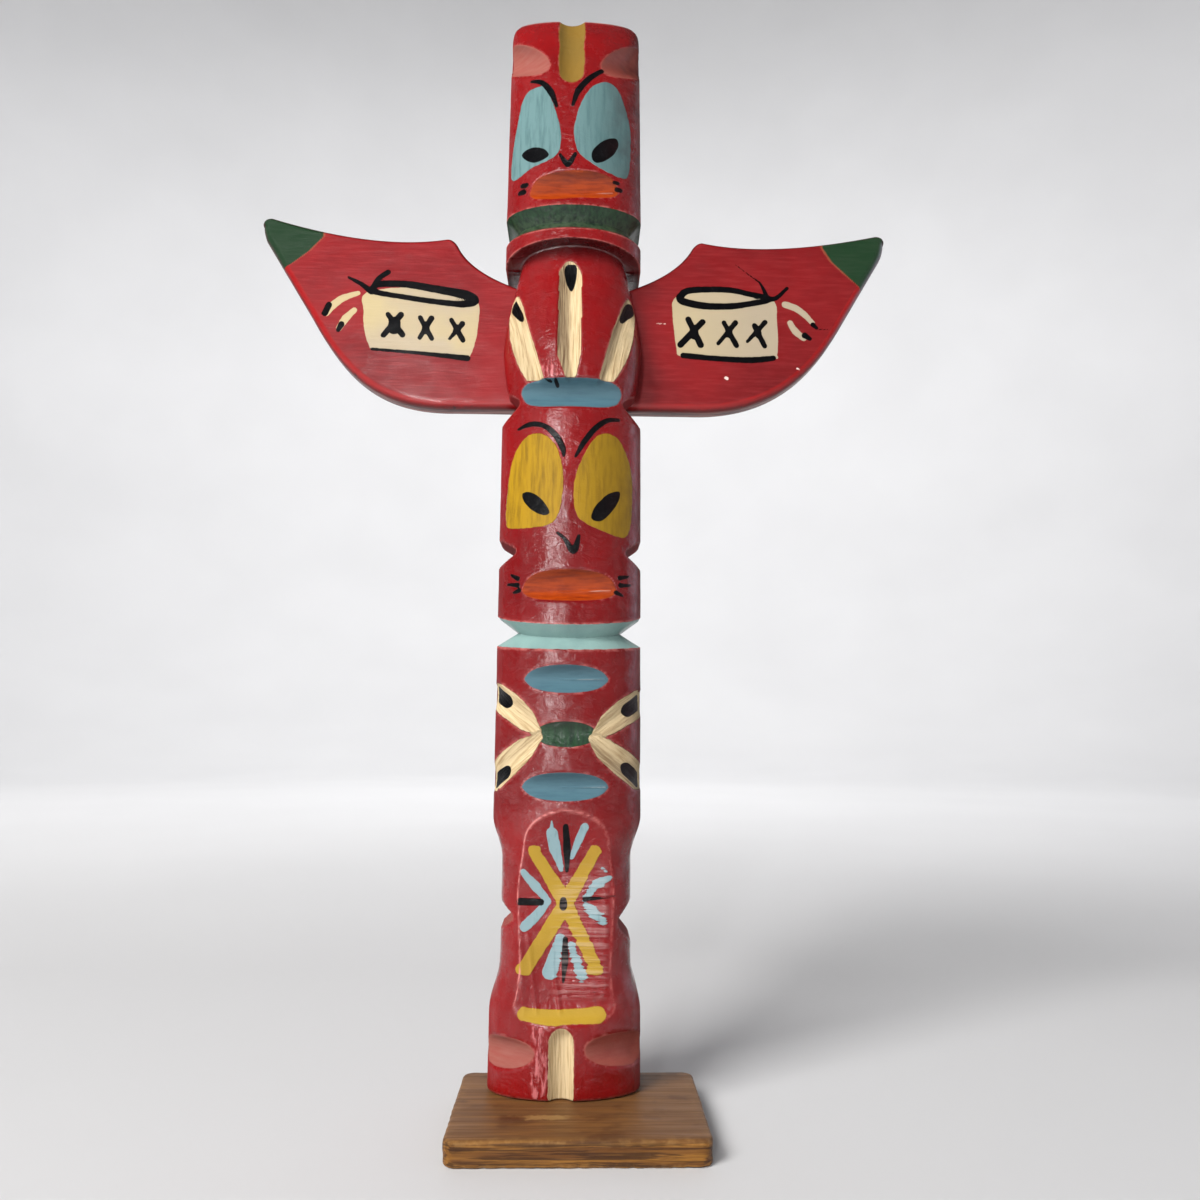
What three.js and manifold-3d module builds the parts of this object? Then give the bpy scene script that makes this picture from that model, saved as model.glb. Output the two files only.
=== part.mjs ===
// A carved and painted souvenir totem pole: a half-round stick, a board with both wings, and a small base.
// Millimetres. X points to the viewer's right, Y to the back, Z up. The origin is the centre of the underside.
import * as THREE from "three";
import { mergeVertices } from "three/addons/utils/BufferGeometryUtils.js";
import Module from "manifold-3d";

// Room left between pieces that touch.
const fitGap = 0.3;

const base = { width: 61, depth: 41, thickness: 6, cornerRadius: 3, edgeRadius: 0.9 };

// The stick's section is a half ellipse in front of widestY and straight sides from there to the flat back.
const pole = {
  axisX: -3.7,
  bottom: base.thickness + fitGap,
  top: 304,
  widestY: 9,
  backY: 20,
  halfWidth: 19.5,
  bulge: 9.5,
};
const frontY = pole.widestY - pole.bulge;

// Both wings are cut from one board. The two tips differ a little, as hand sawing leaves them.
const wing = {
  frontY: 13.5,
  bottom: 187.6,
  notchTop: 224,
  notchHalfWidth: 15.5,
  edgeRadius: 1.3,
  left: { shoulderX: 36.2, shoulderZ: 239.4, reach: 92.4, height: 245.5, belly: 76 },
  right: { shoulderX: 37.1, shoulderZ: 239.7, reach: 93.5, height: 243.4, belly: 77.5 },
};

// Heights of the carved rings. A ring can sit higher or lower in front than at its sides.
const rings = {
  beltLower: { side: 118.6, front: 117 },
  beltDeep: { side: 122.4, front: 120.4 },
  beltUpper: { side: 126.9, front: 123.7 },
  collarLower: { side: 227.4, front: 232.4 },
  collarUpper: { side: 233.3, front: 235.2 },
  neckDeep: { side: 237.6, front: 238.7 },
  headLower: { side: 241.7, front: 242.3 },
};
const beltDepth = { side: 6, front: 3 };
const neckDepth = { side: 3.7, front: 3.1 };

// The chest is a barrel: fullest at fullZ, drawn in under the collar and a little towards the waist notch.
const chest = { fullZ: 203, neckInset: { side: 4.6, front: 4.2 }, waistZ: 186, waistInset: 2.6 };

// The lower body is sawn narrower between the foot and the belly.
const lowerBody = { footTop: 25.2, narrowFrom: 38, narrowTo: 63.5, bellyFrom: 74, inset: 2.6 };

// The forehead is rounded back towards the flat top.
const forehead = { startZ: 281, roundness: 41 };

const arcSteps = 36;

const wasm = await Module();
wasm.setup();

function solidOf(geometry) {
  const plain = geometry.index ? geometry.toNonIndexed() : geometry;
  plain.deleteAttribute("normal");
  plain.deleteAttribute("uv");
  const merged = mergeVertices(plain, 1e-4);
  const vertProperties = new Float32Array(merged.attributes.position.array);
  const triVerts = new Uint32Array(merged.index.array);
  return new wasm.Manifold(new wasm.Mesh({ numProp: 3, vertProperties, triVerts }));
}

function geometryOf(solid) {
  const mesh = solid.getMesh();
  const geometry = new THREE.BufferGeometry();
  geometry.setAttribute("position", new THREE.BufferAttribute(mesh.vertProperties, mesh.numProp));
  geometry.setIndex(new THREE.BufferAttribute(mesh.triVerts, 1));
  return geometry;
}

function easeBetween(value, low, high) {
  const share = THREE.MathUtils.clamp((value - low) / (high - low), 0, 1);
  return share * share * (3 - 2 * share);
}

// One level of the stick: how far its sides and its front are cut back, and its height at the side and front.
function level(side, front, insetSide = 0, insetFront = insetSide) {
  return { side, front, insetSide, insetFront };
}

function levelRing({ side, front, insetSide, insetFront }) {
  const halfWidth = pole.halfWidth - insetSide;
  const bulge = pole.bulge - insetFront;
  const points = [];
  for (let i = 0; i <= arcSteps; i++) {
    const angle = -Math.PI / 2 + (Math.PI * i) / arcSteps;
    const height = side + (front - side) * Math.cos(angle);
    points.push([halfWidth * Math.sin(angle), pole.widestY - bulge * Math.cos(angle), height]);
  }
  points.push([halfWidth, pole.backY, side]);
  points.push([-halfWidth, pole.backY, side]);
  return points;
}

function chestInset(height) {
  if (height < chest.fullZ) {
    const share = (chest.fullZ - height) / (chest.fullZ - chest.waistZ);
    return { side: chest.waistInset * share ** 2, front: 0 };
  }
  const share = (height - chest.fullZ) / (rings.collarLower.side - chest.fullZ);
  const drop = share ** 1.3;
  return { side: chest.neckInset.side * drop, front: chest.neckInset.front * drop };
}

function foreheadInset(height) {
  return forehead.roundness - Math.sqrt(forehead.roundness ** 2 - (height - forehead.startZ) ** 2);
}

function poleLevels() {
  const { footTop, narrowFrom, narrowTo, bellyFrom, inset } = lowerBody;
  const levels = [level(pole.bottom, pole.bottom), level(footTop, footTop)];
  for (const height of [27, 29.5, 32, 35, narrowFrom, narrowTo, 66, 68, 70, 72, bellyFrom]) {
    const narrowing = easeBetween(height, footTop, narrowFrom) - easeBetween(height, narrowTo, bellyFrom);
    levels.push(level(height, height, inset * narrowing, 0));
  }
  const { beltLower, beltDeep, beltUpper, collarLower, collarUpper, neckDeep, headLower } = rings;
  levels.push(level(beltLower.side, beltLower.front));
  levels.push(level(beltDeep.side, beltDeep.front, beltDepth.side, beltDepth.front));
  levels.push(level(beltUpper.side, beltUpper.front));
  levels.push(level(180, 180));
  for (const height of [chest.waistZ, 190, 194, 198, chest.fullZ, 208, 213, 218, 223]) {
    const { side, front } = chestInset(height);
    levels.push(level(height, height, side, front));
  }
  const ledge = 0.05;
  const { side: neckSide, front: neckFront } = chest.neckInset;
  levels.push(level(collarLower.side - ledge, collarLower.front - ledge, neckSide, neckFront));
  levels.push(level(collarLower.side, collarLower.front));
  levels.push(level(collarUpper.side, collarUpper.front));
  levels.push(level(neckDeep.side, neckDeep.front, neckDepth.side, neckDepth.front));
  levels.push(level(headLower.side, headLower.front));
  levels.push(level(forehead.startZ, forehead.startZ, 0.3, 0));
  for (const [height, insetSide] of [[286, 0.4], [291, 0.5], [296, 0.6], [300.5, 0.8], [302.8, 1.5], [pole.top, 3]]) {
    levels.push(level(height, height, insetSide, foreheadInset(height)));
  }
  return levels;
}

function blankStick() {
  const ringsOfPoints = poleLevels().map(levelRing);
  const perRing = ringsOfPoints[0].length;
  const positions = ringsOfPoints.flat(2);
  const index = [];
  for (let k = 0; k + 1 < ringsOfPoints.length; k++) {
    for (let i = 0; i < perRing; i++) {
      const low = k * perRing;
      const next = (i + 1) % perRing;
      index.push(low + i, low + next, low + perRing + next);
      index.push(low + i, low + perRing + next, low + perRing + i);
    }
  }
  const bottomCentre = positions.length / 3;
  positions.push(0, pole.widestY, pole.bottom);
  positions.push(0, pole.widestY, pole.top);
  const lastRing = (ringsOfPoints.length - 1) * perRing;
  for (let i = 0; i < perRing; i++) {
    const next = (i + 1) % perRing;
    index.push(bottomCentre, next, i);
    index.push(bottomCentre + 1, lastRing + i, lastRing + next);
  }
  const geometry = new THREE.BufferGeometry();
  geometry.setAttribute("position", new THREE.Float32BufferAttribute(positions, 3));
  geometry.setIndex(index);
  return solidOf(geometry);
}

// A round gouge's cut: a cylinder whose deepest line runs through two points, and overrun past them.
// A ball start ends the cut in a round hollow at its first point instead.
function gouge({ from, to, radius, overrun = 30, ballStart = false, outward = [0, -1, 0] }) {
  const start = new THREE.Vector3(...from);
  const end = new THREE.Vector3(...to);
  const along = end.clone().sub(start).normalize();
  const away = new THREE.Vector3(...outward);
  away.addScaledVector(along, -away.dot(along)).normalize();
  const startRun = ballStart ? 0 : overrun;
  const length = start.distanceTo(end) + startRun + overrun;
  const cutter = new THREE.CylinderGeometry(radius, radius, length, 32);
  const middle = start.clone().addScaledVector(away, radius).addScaledVector(along, length / 2 - startRun);
  const turn = new THREE.Quaternion().setFromUnitVectors(new THREE.Vector3(0, 1, 0), along);
  cutter.applyQuaternion(turn);
  cutter.translate(middle.x, middle.y, middle.z);
  const channel = solidOf(cutter);
  if (!ballStart) {
    return channel;
  }
  const ball = new THREE.SphereGeometry(radius, 32, 16);
  ball.applyQuaternion(turn);
  ball.translate(...start.addScaledVector(away, radius).toArray());
  return channel.add(solidOf(ball));
}

// A level scoop across the front, as a mouth or a lens: height is its full height on the rounded front.
function scoop({ z, height, depth, tilt = 0 }) {
  const radius = ((height / 2) ** 2 + depth ** 2) / (2 * depth);
  const reach = pole.halfWidth;
  return gouge({
    from: [-reach, frontY + depth, z - tilt],
    to: [reach, frontY + depth, z + tilt],
    radius,
  });
}

// A cut with the given outline across the stick, from side to side; points are [y, z].
function crossCut(outline) {
  const span = 4 * pole.halfWidth;
  const cutter = new THREE.ExtrudeGeometry(outline, { depth: span, bevelEnabled: false, curveSegments: 10 });
  // The outline is drawn in the cutter's own X and Y, which become Y and Z here.
  cutter.applyMatrix4(new THREE.Matrix4().set(0, 0, 1, -span / 2, 1, 0, 0, 0, 0, 1, 0, 0, 0, 0, 0, 1));
  return solidOf(cutter);
}

// A notch sawn into one side, from the front right through to the back.
function sideNotch({ side, upper, deepest, lower, inner, edge = pole.halfWidth }) {
  const outer = pole.halfWidth + 3;
  const flare = (outer - edge) / (edge - inner);
  const upperOut = upper + (upper - deepest) * flare;
  const lowerOut = lower - (deepest - lower) * flare;
  const rounding = 0.3;
  const roundedX = inner + rounding * (edge - inner);
  const outline = new THREE.Shape();
  outline.moveTo(side * outer, upperOut);
  outline.lineTo(side * roundedX, deepest + rounding * (upper - deepest));
  outline.quadraticCurveTo(side * inner, deepest, side * roundedX, deepest - rounding * (deepest - lower));
  outline.lineTo(side * outer, lowerOut);
  const cutter = new THREE.ExtrudeGeometry(outline, { depth: 40, bevelEnabled: false, curveSegments: 5 });
  cutter.rotateX(Math.PI / 2);
  cutter.translate(0, 30, 0);
  return solidOf(cutter);
}

// The flat picture panel of the lower body, which ends in a scooped ledge above the foot.
function panelCut() {
  const outline = new THREE.Shape();
  outline.moveTo(frontY - 4, 23.4);
  outline.lineTo(frontY - 0.1, 23.9);
  outline.quadraticCurveTo(frontY + 2, 24.6, frontY + 2.5, 28.1);
  outline.lineTo(frontY + 3.3, 54);
  outline.quadraticCurveTo(frontY + 2.9, 68, frontY - 0.1, 76.2);
  outline.lineTo(frontY - 4, 77);
  return crossCut(outline);
}

function wingNotch() {
  const width = 3 * pole.halfWidth;
  const depth = 20;
  const height = wing.notchTop - wing.bottom + 2 * fitGap;
  const cutter = new THREE.BoxGeometry(width, depth, height);
  cutter.translate(0, wing.frontY - fitGap + depth / 2, wing.bottom - fitGap + height / 2);
  return solidOf(cutter);
}

function carvings() {
  const cuts = [panelCut(), wingNotch()];
  // Two mouths, the scoop under the chest, and three lens shapes on the belly.
  cuts.push(scoop({ z: 248.3, height: 8.6, depth: 2.4, tilt: 0.3 }));
  cuts.push(scoop({ z: 134.3, height: 8.2, depth: 2.4 }));
  cuts.push(scoop({ z: 187.5, height: 8.4, depth: 3.8 }));
  cuts.push(scoop({ z: 109.4, height: 7.3, depth: 1.8 }));
  cuts.push(scoop({ z: 95.2, height: 6.7, depth: 0.9 }));
  cuts.push(scoop({ z: 81.8, height: 7.1, depth: 1.85 }));
  // The crest groove follows the forehead in two strokes.
  const crestBend = [-1.2, 3, 293];
  cuts.push(gouge({ from: [-1.2, 1.3, 283.2], to: crestBend, radius: 5.2, ballStart: true }));
  cuts.push(gouge({ from: crestBend, to: [-1.2, 8.3, pole.top], radius: 5.35 }));
  // The chest's middle feather and the foot's groove.
  cuts.push(gouge({ from: [-0.9, -0.05, 192.5], to: [-0.9, 3.3, 226], radius: 5.2, overrun: 0.5 }));
  const footGroove = { from: [-0.7, frontY + 2, 20], to: [-0.7, frontY + 2.2, pole.bottom], radius: 3.6 };
  cuts.push(gouge({ ...footGroove, ballStart: true }));
  for (const side of [-1, 1]) {
    const outward = [side * 0.7, -0.7, 0];
    // Shoulder cuts at the top corners, and the chest's outer feathers.
    cuts.push(gouge({ from: [side * 7.4, 0.5, 286.8], to: [side * 19.5, 11.4, 294.2], radius: 5.8, outward }));
    const outerFeather = { from: [side * 10, 2.2, 191.5], to: [side * 16.8, 6.4, 216.5], radius: 6 };
    cuts.push(gouge({ ...outerFeather, overrun: 0.5, outward }));
    // Four feathers that meet round the middle lens of the belly.
    cuts.push(gouge({ from: [side * 7, 0.1, 96.2], to: [side * 19.3, 8.4, 104.6], radius: 4.5, outward }));
    cuts.push(gouge({ from: [side * 6.6, 0.1, 93.4], to: [side * 19.3, 8.4, 82.8], radius: 4.5, outward }));
    cuts.push(sideNotch({ side, upper: 190.6, deepest: 185.6, lower: 180, inner: 13.4 }));
    cuts.push(sideNotch({ side, upper: 147.6, deepest: 143.7, lower: 139.8, inner: 14 + side * 0.4 }));
  }
  // The lower cuts were made by eye, and the two sides differ.
  cuts.push(sideNotch({ side: -1, upper: 52.4, deepest: 48.9, lower: 45.5, inner: 12.8, edge: 16.9 }));
  cuts.push(sideNotch({ side: 1, upper: 52.6, deepest: 47.8, lower: 42.6, inner: 12.8, edge: 16.9 }));
  const footLens = { radius: 4.2 };
  cuts.push(gouge({ ...footLens, from: [-7.2, 0.1, 17], to: [-19.5, 9, 16.4], outward: [-0.7, -0.7, 0] }));
  cuts.push(gouge({ ...footLens, from: [5.2, -0.1, 18], to: [19.5, 9.2, 17], outward: [0.7, -0.7, 0] }));
  return cuts;
}

function carvedPole() {
  let solid = blankStick();
  for (const cut of carvings()) {
    solid = solid.subtract(cut);
  }
  return geometryOf(solid);
}

// Half of the wing board's outline, from the middle of its lower edge round the tip to the notch's top.
function wingEdge({ shoulderX, shoulderZ, reach, height, belly }) {
  const path = new THREE.Path();
  path.moveTo(0, wing.bottom);
  path.lineTo(34, wing.bottom);
  path.bezierCurveTo(56, wing.bottom - 0.4, belly - 10, 198, belly, 215);
  path.lineTo(reach - 2, height - 7.5);
  path.quadraticCurveTo(reach + 0.8, height - 0.6, reach - 3.5, height - 0.6);
  path.quadraticCurveTo(58, 235.6, shoulderX + 1, shoulderZ);
  path.quadraticCurveTo(shoulderX - 0.6, shoulderZ, shoulderX - 2, shoulderZ - 2);
  path.quadraticCurveTo(30.5, 229.2, wing.notchHalfWidth, wing.notchTop);
  return path.getPoints(12);
}

function wingBoard() {
  const right = wingEdge(wing.right);
  const left = wingEdge(wing.left).slice(1).reverse();
  const outline = new THREE.Shape([...right, ...left.map((point) => new THREE.Vector2(-point.x, point.y))]);
  const { edgeRadius } = wing;
  const thickness = pole.backY - wing.frontY;
  const board = new THREE.ExtrudeGeometry(outline, {
    depth: thickness - 2 * edgeRadius,
    bevelThickness: edgeRadius,
    bevelSize: edgeRadius,
    bevelOffset: -edgeRadius,
    bevelSegments: 2,
  });
  board.rotateX(Math.PI / 2);
  board.translate(0, pole.backY - edgeRadius, 0);
  return geometryOf(solidOf(board));
}

function basePlaque() {
  const { width, depth, thickness, cornerRadius, edgeRadius } = base;
  const x = width / 2;
  const y = depth / 2;
  const outline = new THREE.Shape();
  outline.moveTo(x, y - cornerRadius);
  outline.absarc(x - cornerRadius, y - cornerRadius, cornerRadius, 0, Math.PI / 2, false);
  outline.absarc(-x + cornerRadius, y - cornerRadius, cornerRadius, Math.PI / 2, Math.PI, false);
  outline.absarc(-x + cornerRadius, -y + cornerRadius, cornerRadius, Math.PI, 1.5 * Math.PI, false);
  outline.absarc(x - cornerRadius, -y + cornerRadius, cornerRadius, 1.5 * Math.PI, 2 * Math.PI, false);
  const plaque = new THREE.ExtrudeGeometry(outline, {
    depth: thickness - 2 * edgeRadius,
    bevelThickness: edgeRadius,
    bevelSize: edgeRadius,
    bevelOffset: -edgeRadius,
    bevelSegments: 2,
    curveSegments: 6,
  });
  plaque.translate(0, 0, edgeRadius);
  return geometryOf(solidOf(plaque));
}

function piece(name, geometry, color, roughness, x = 0) {
  const mesh = new THREE.Mesh(geometry, new THREE.MeshStandardMaterial({ color, roughness, metalness: 0 }));
  mesh.name = name;
  mesh.position.x = x;
  return mesh;
}

const totemPole = new THREE.Group();
totemPole.add(piece("carved_pole", carvedPole(), 0xa3211f, 0.3, pole.axisX));
totemPole.add(piece("wing_board", wingBoard(), 0x98262a, 0.4, pole.axisX));
totemPole.add(piece("base_plaque", basePlaque(), 0x7a4a25, 0.6));

export default totemPole;
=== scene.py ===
import bpy
import numpy as np
from mathutils import Matrix


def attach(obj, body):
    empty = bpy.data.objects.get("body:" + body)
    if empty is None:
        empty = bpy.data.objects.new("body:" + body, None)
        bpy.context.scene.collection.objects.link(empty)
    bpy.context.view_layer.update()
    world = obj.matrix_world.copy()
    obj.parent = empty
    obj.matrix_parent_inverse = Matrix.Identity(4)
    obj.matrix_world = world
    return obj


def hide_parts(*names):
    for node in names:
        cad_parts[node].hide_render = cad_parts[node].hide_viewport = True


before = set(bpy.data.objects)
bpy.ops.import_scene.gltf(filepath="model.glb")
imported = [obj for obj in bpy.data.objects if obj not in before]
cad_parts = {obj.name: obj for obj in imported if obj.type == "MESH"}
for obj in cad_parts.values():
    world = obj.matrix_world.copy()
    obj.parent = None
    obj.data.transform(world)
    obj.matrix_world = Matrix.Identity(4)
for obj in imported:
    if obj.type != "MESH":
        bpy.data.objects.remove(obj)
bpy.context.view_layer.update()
mm = 0.001
# Values that stand for a cut that isn't met and for a place far outside a painted shape, in millimetres.
noHit = 999
farOut = -9.0
print("frame loaded")


def makePiece(name, points, quads, triangles, fields, material):
    # Points are in millimetres and become metres; every field is a number on each point.
    mesh = bpy.data.meshes.new(name)
    mesh.from_pydata((points * mm).tolist(), [], quads.tolist() + triangles.tolist())
    for fieldName, values in fields.items():
        layer = mesh.attributes.new(fieldName, "FLOAT", "POINT")
        layer.data.foreach_set("value", values.astype(np.float32))
    mesh.polygons.foreach_set("use_smooth", np.ones(len(mesh.polygons), dtype=bool))
    mesh.materials.append(material)
    mesh.update()
    piece = bpy.data.objects.new(name, mesh)
    bpy.context.collection.objects.link(piece)
    return piece


def ringQuads(rows, columns):
    # Quads between neighbouring rows of a closed ring: (i, j), (i, j+1), (i+1, j+1), (i+1, j).
    low = np.arange(rows - 1)[:, None] * columns
    j = np.arange(columns)[None, :]
    after = (j + 1) % columns
    return np.stack([low + j, low + after, low + columns + after, low + columns + j], -1).reshape(-1, 4)


def capRings(ring, centre, steps):
    # Rings that shrink towards a centre: centre + (ring - centre) * share, then the centre itself.
    shares = (1 - np.arange(1, steps) / steps)[:, None, None]
    return np.concatenate([(centre + (ring - centre)[None] * shares).reshape(-1, 3), centre[None]])


def capFaces(first, ringStart, columns, steps, upward):
    # Quads from the last ring inwards and a fan at the middle.
    starts = np.concatenate([[ringStart], first + np.arange(steps - 1) * columns])
    j = np.arange(columns)
    after = (j + 1) % columns
    a = starts[:-1, None] + j
    b = starts[:-1, None] + after
    c = starts[1:, None] + after
    d = starts[1:, None] + j
    quads = np.stack([a, b, c, d], -1).reshape(-1, 4)
    middle = np.full(columns, first + (steps - 1) * columns)
    fan = np.stack([starts[-1] + j, starts[-1] + after, middle], -1)
    return (quads, fan) if upward else (quads[:, ::-1], fan[:, ::-1])


def closedStack(grid, topCentre, bottomCentre, topSteps, bottomSteps):
    # A stack of rings from the bottom up, capped at both ends: points, quads, triangles, and how many points
    # the caps have.
    rows, columns = grid.shape[:2]
    flat = grid.reshape(-1, 3)
    top = capRings(grid[-1], np.array(topCentre, float), topSteps)
    bottom = capRings(grid[0], np.array(bottomCentre, float), bottomSteps)
    topQuads, topFan = capFaces(len(flat), (rows - 1) * columns, columns, topSteps, True)
    bottomQuads, bottomFan = capFaces(len(flat) + len(top), 0, columns, bottomSteps, False)
    quads = np.concatenate([ringQuads(rows, columns), topQuads, bottomQuads])
    return np.concatenate([
        flat, top, bottom
    ]), quads, np.concatenate([topFan, bottomFan]), len(top) + len(bottom)


def ripple(a, b, seed):
    # A sum of crossed sine waves, between about -1 and 1, that never repeats over the piece.
    total = np.zeros_like(a)
    for k in range(5):
        turn = seed * 1.7 + k * 2.3
        scale = 1 + 0.6 * k
        total += np.sin(a * np.cos(turn) * scale + b * np.sin(turn) * scale + turn * 3.1) / (1 + 0.5 * k)
    return total / 2.6


def softMin(a, b, k):
    # The smaller of two, rounded where they are within k: min(a, b) - max(k - |a - b|, 0)^2 / 4k.
    gap = np.maximum(k - np.abs(a - b), 0)
    return np.minimum(a, b) - gap * gap / (4 * k)


def alongPart(px, pz, start, end):
    # How far along the part each point lies, as a share from start to end, and how far away from it.
    (ax, az), (bx, bz) = start, end
    length = max((bx - ax) ** 2 + (bz - az) ** 2, 1e-12)
    share = np.clip(((px - ax) * (bx - ax) + (pz - az) * (bz - az)) / length, 0, 1)
    return share, np.hypot(px - ax - share * (bx - ax), pz - az - share * (bz - az))


def nearLine(x, z, line, margin=3):
    # The points inside the line's box and a margin round it.
    (lowX, lowZ), (highX, highZ) = line.min(0) - margin, line.max(0) + margin
    return (x > lowX) & (x < highX) & (z > lowZ) & (z < highZ)


def edgeDistance(px, pz, line):
    # The least distance to a line's parts.
    best = np.full(px.shape, 99.0)
    for start, end in zip(line[:-1], line[1:]):
        best = np.minimum(best, alongPart(px, pz, start, end)[1])
    return best


def bent(p0, p1, p2, p3, t):
    # A Catmull-Rom curve from p1 to p2: half of 2 p1 + (p2 - p0) t + (2 p0 - 5 p1 + 4 p2 - p3) t^2
    # + (3 p1 - p0 - 3 p2 + p3) t^3.
    square = (2 * p0 - 5 * p1 + 4 * p2 - p3) * t**2
    return 0.5 * (2 * p1 + (p2 - p0) * t + square + (3 * p1 - p0 - 3 * p2 + p3) * t**3)


# Each painted shape gives millimetres inside its edge, and less than nothing outside.
def strokeField(x, z, line, widths):
    # Half the brush's width less the distance to the line, where the width changes evenly along each part.
    # A line of three points or more is first bent into a smooth curve.
    line = np.array(line, float)
    widths = np.broadcast_to(np.array(widths, float), (len(line),))
    if len(line) > 2:
        places = np.linspace(0, len(line) - 1, 3 * len(line) - 2)
        part = np.minimum(places.astype(int), len(line) - 2)
        ahead = np.concatenate([line[:1] * 2 - line[1:2], line, line[-1:] * 2 - line[-2:-1]])
        line = bent(*(ahead[part + k] for k in range(4)), (places - part)[:, None])
        widths = np.interp(places, np.arange(len(widths)), widths)
    field = np.full(x.shape, farOut)
    near = nearLine(x, z, line)
    found = np.full(np.count_nonzero(near), farOut)
    for start, end, startWidth, endWidth in zip(line[:-1], line[1:], widths[:-1], widths[1:]):
        share, away = alongPart(x[near], z[near], start, end)
        found = np.maximum(found, (startWidth + (endWidth - startWidth) * share) / 2 - away)
    field[near] = found
    return field


def areaField(x, z, corners, steps=7):
    # The distance to a rounded loop, positive inside it: inside is an odd number of crossings to one side.
    corners = np.array(corners, float)
    t = (np.arange(steps) / steps)[None, :, None]
    loop = bent(*(np.roll(corners, 1 - k, 0)[:, None] for k in range(4)), t).reshape(-1, 2)
    field = np.full(x.shape, farOut)
    near = nearLine(x, z, loop)
    px, pz = x[near], z[near]
    found = edgeDistance(px, pz, np.concatenate([loop, loop[:1]]))
    inside = np.zeros(px.shape, bool)
    for (ax, az), (bx, bz) in zip(loop, np.roll(loop, -1, 0)):
        inside ^= ((az > pz) != (bz > pz)) & (px < (bx - ax) * (pz - az) / (bz - az + 1e-12) + ax)
    field[near] = np.where(inside, found, -found)
    return field


pole = {
    "axisX": -3.7,
    "bottom": 6.3,
    "top": 304.0,
    "widestY": 9.0,
    "backY": 20.0,
    "halfWidth": 19.5,
    "bulge": 9.5,
    "innerY": 11.0,
    "cornerRadius": 0.8,
    "arris": 0.35,
    "frontColumns": 150,
    "sideColumns": 8,
    "backColumns": 6,
    "slotY": 13.2,
    "slotBottom": 187.3,
    "slotTop": 224.3,
}
frontY = pole["widestY"] - pole["bulge"]
belt = {"lower": (118.6, 117), "deep": (122.4, 120.4), "upper": (126.9, 123.7), "depth": (6.0, 3.0)}
neck = {
    "collarLower": (227.4, 232.4),
    "collarUpper": (233.3, 235.2),
    "deep": (237.6, 238.7),
    "headLower": (241.7, 242.3),
    "depth": (3.7, 3.1),
}
chest = {"full": 203.0, "waist": 186.0, "waistInset": 2.6, "neckInset": (4.6, 4.2), "length": 24.4}
lowerBody = {"narrowing": (25.2, 38.0), "widening": (63.5, 74.0), "inset": 2.6}
forehead = {
    "start": 281.0,
    "roundness": 50.0,
    "sides": [(281, 0.3), (291, 0.4), (296, 0.5), (300.5, 0.65), (302.8, 1.1), (304, 2.2)],
}
# Rows of the mesh: how far apart they are at some heights, closer where there is more to carve and paint.
rowSpacing = [
    (6, 0.82), (24, 0.78), (76, 0.72), (117, 0.68), (127, 0.6),
    (180, 0.6), (227, 0.68), (242, 0.56), (281, 0.58), (304, 0.66),
]


def easeBetween(value, low, high):
    share = np.clip((value - low) / (high - low), 0, 1)
    return share * share * (3 - 2 * share)


def poleLevels():
    # A level is its height at the sides and in front, and how far the sides and the front are cut in.
    # The foot's lower edge is rounded by half a millimetre.
    levels = [(6.3, 6.3, 0.5, 0.5), (6.6, 6.6, 0.15, 0.15), (7.1, 7.1, 0, 0), (25.2, 25.2, 0, 0)]
    narrowEnd = lowerBody["narrowing"][1]
    for h in [*np.linspace(26, narrowEnd, 13), *np.linspace(*lowerBody["widening"], 12)]:
        narrowing = easeBetween(h, *lowerBody["narrowing"]) - easeBetween(h, *lowerBody["widening"])
        levels.append((h, h, lowerBody["inset"] * narrowing, 0))
    levels += [
        (*belt["lower"], 0, 0), (*belt["deep"], *belt["depth"]), (*belt["upper"], 0, 0), (180, 180, 0, 0)
    ]
    for h in np.linspace(186, 223, 38):
        if h < chest["full"]:
            below = (chest["full"] - h) / (chest["full"] - chest["waist"])
            levels.append((h, h, chest["waistInset"] * below**2, 0))
        else:
            drop = ((h - chest["full"]) / chest["length"]) ** 1.3
            levels.append((h, h, chest["neckInset"][0] * drop, chest["neckInset"][1] * drop))
    under = (neck["collarLower"][0] - 0.05, neck["collarLower"][1] - 0.05)
    levels += [(*under, *chest["neckInset"]), (*neck["collarLower"], 0, 0), (*neck["collarUpper"], 0, 0)]
    levels += [(*neck["deep"], *neck["depth"]), (*neck["headLower"], 0, 0), (281, 281, 0.3, 0)]
    roundness = forehead["roundness"]
    for h in np.linspace(283, pole["top"], 22):
        side = np.interp(h, *zip(*forehead["sides"]))
        levels.append((h, h, side, roundness - np.sqrt(roundness**2 - (h - forehead["start"]) ** 2)))
    return np.array(levels, float)


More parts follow.
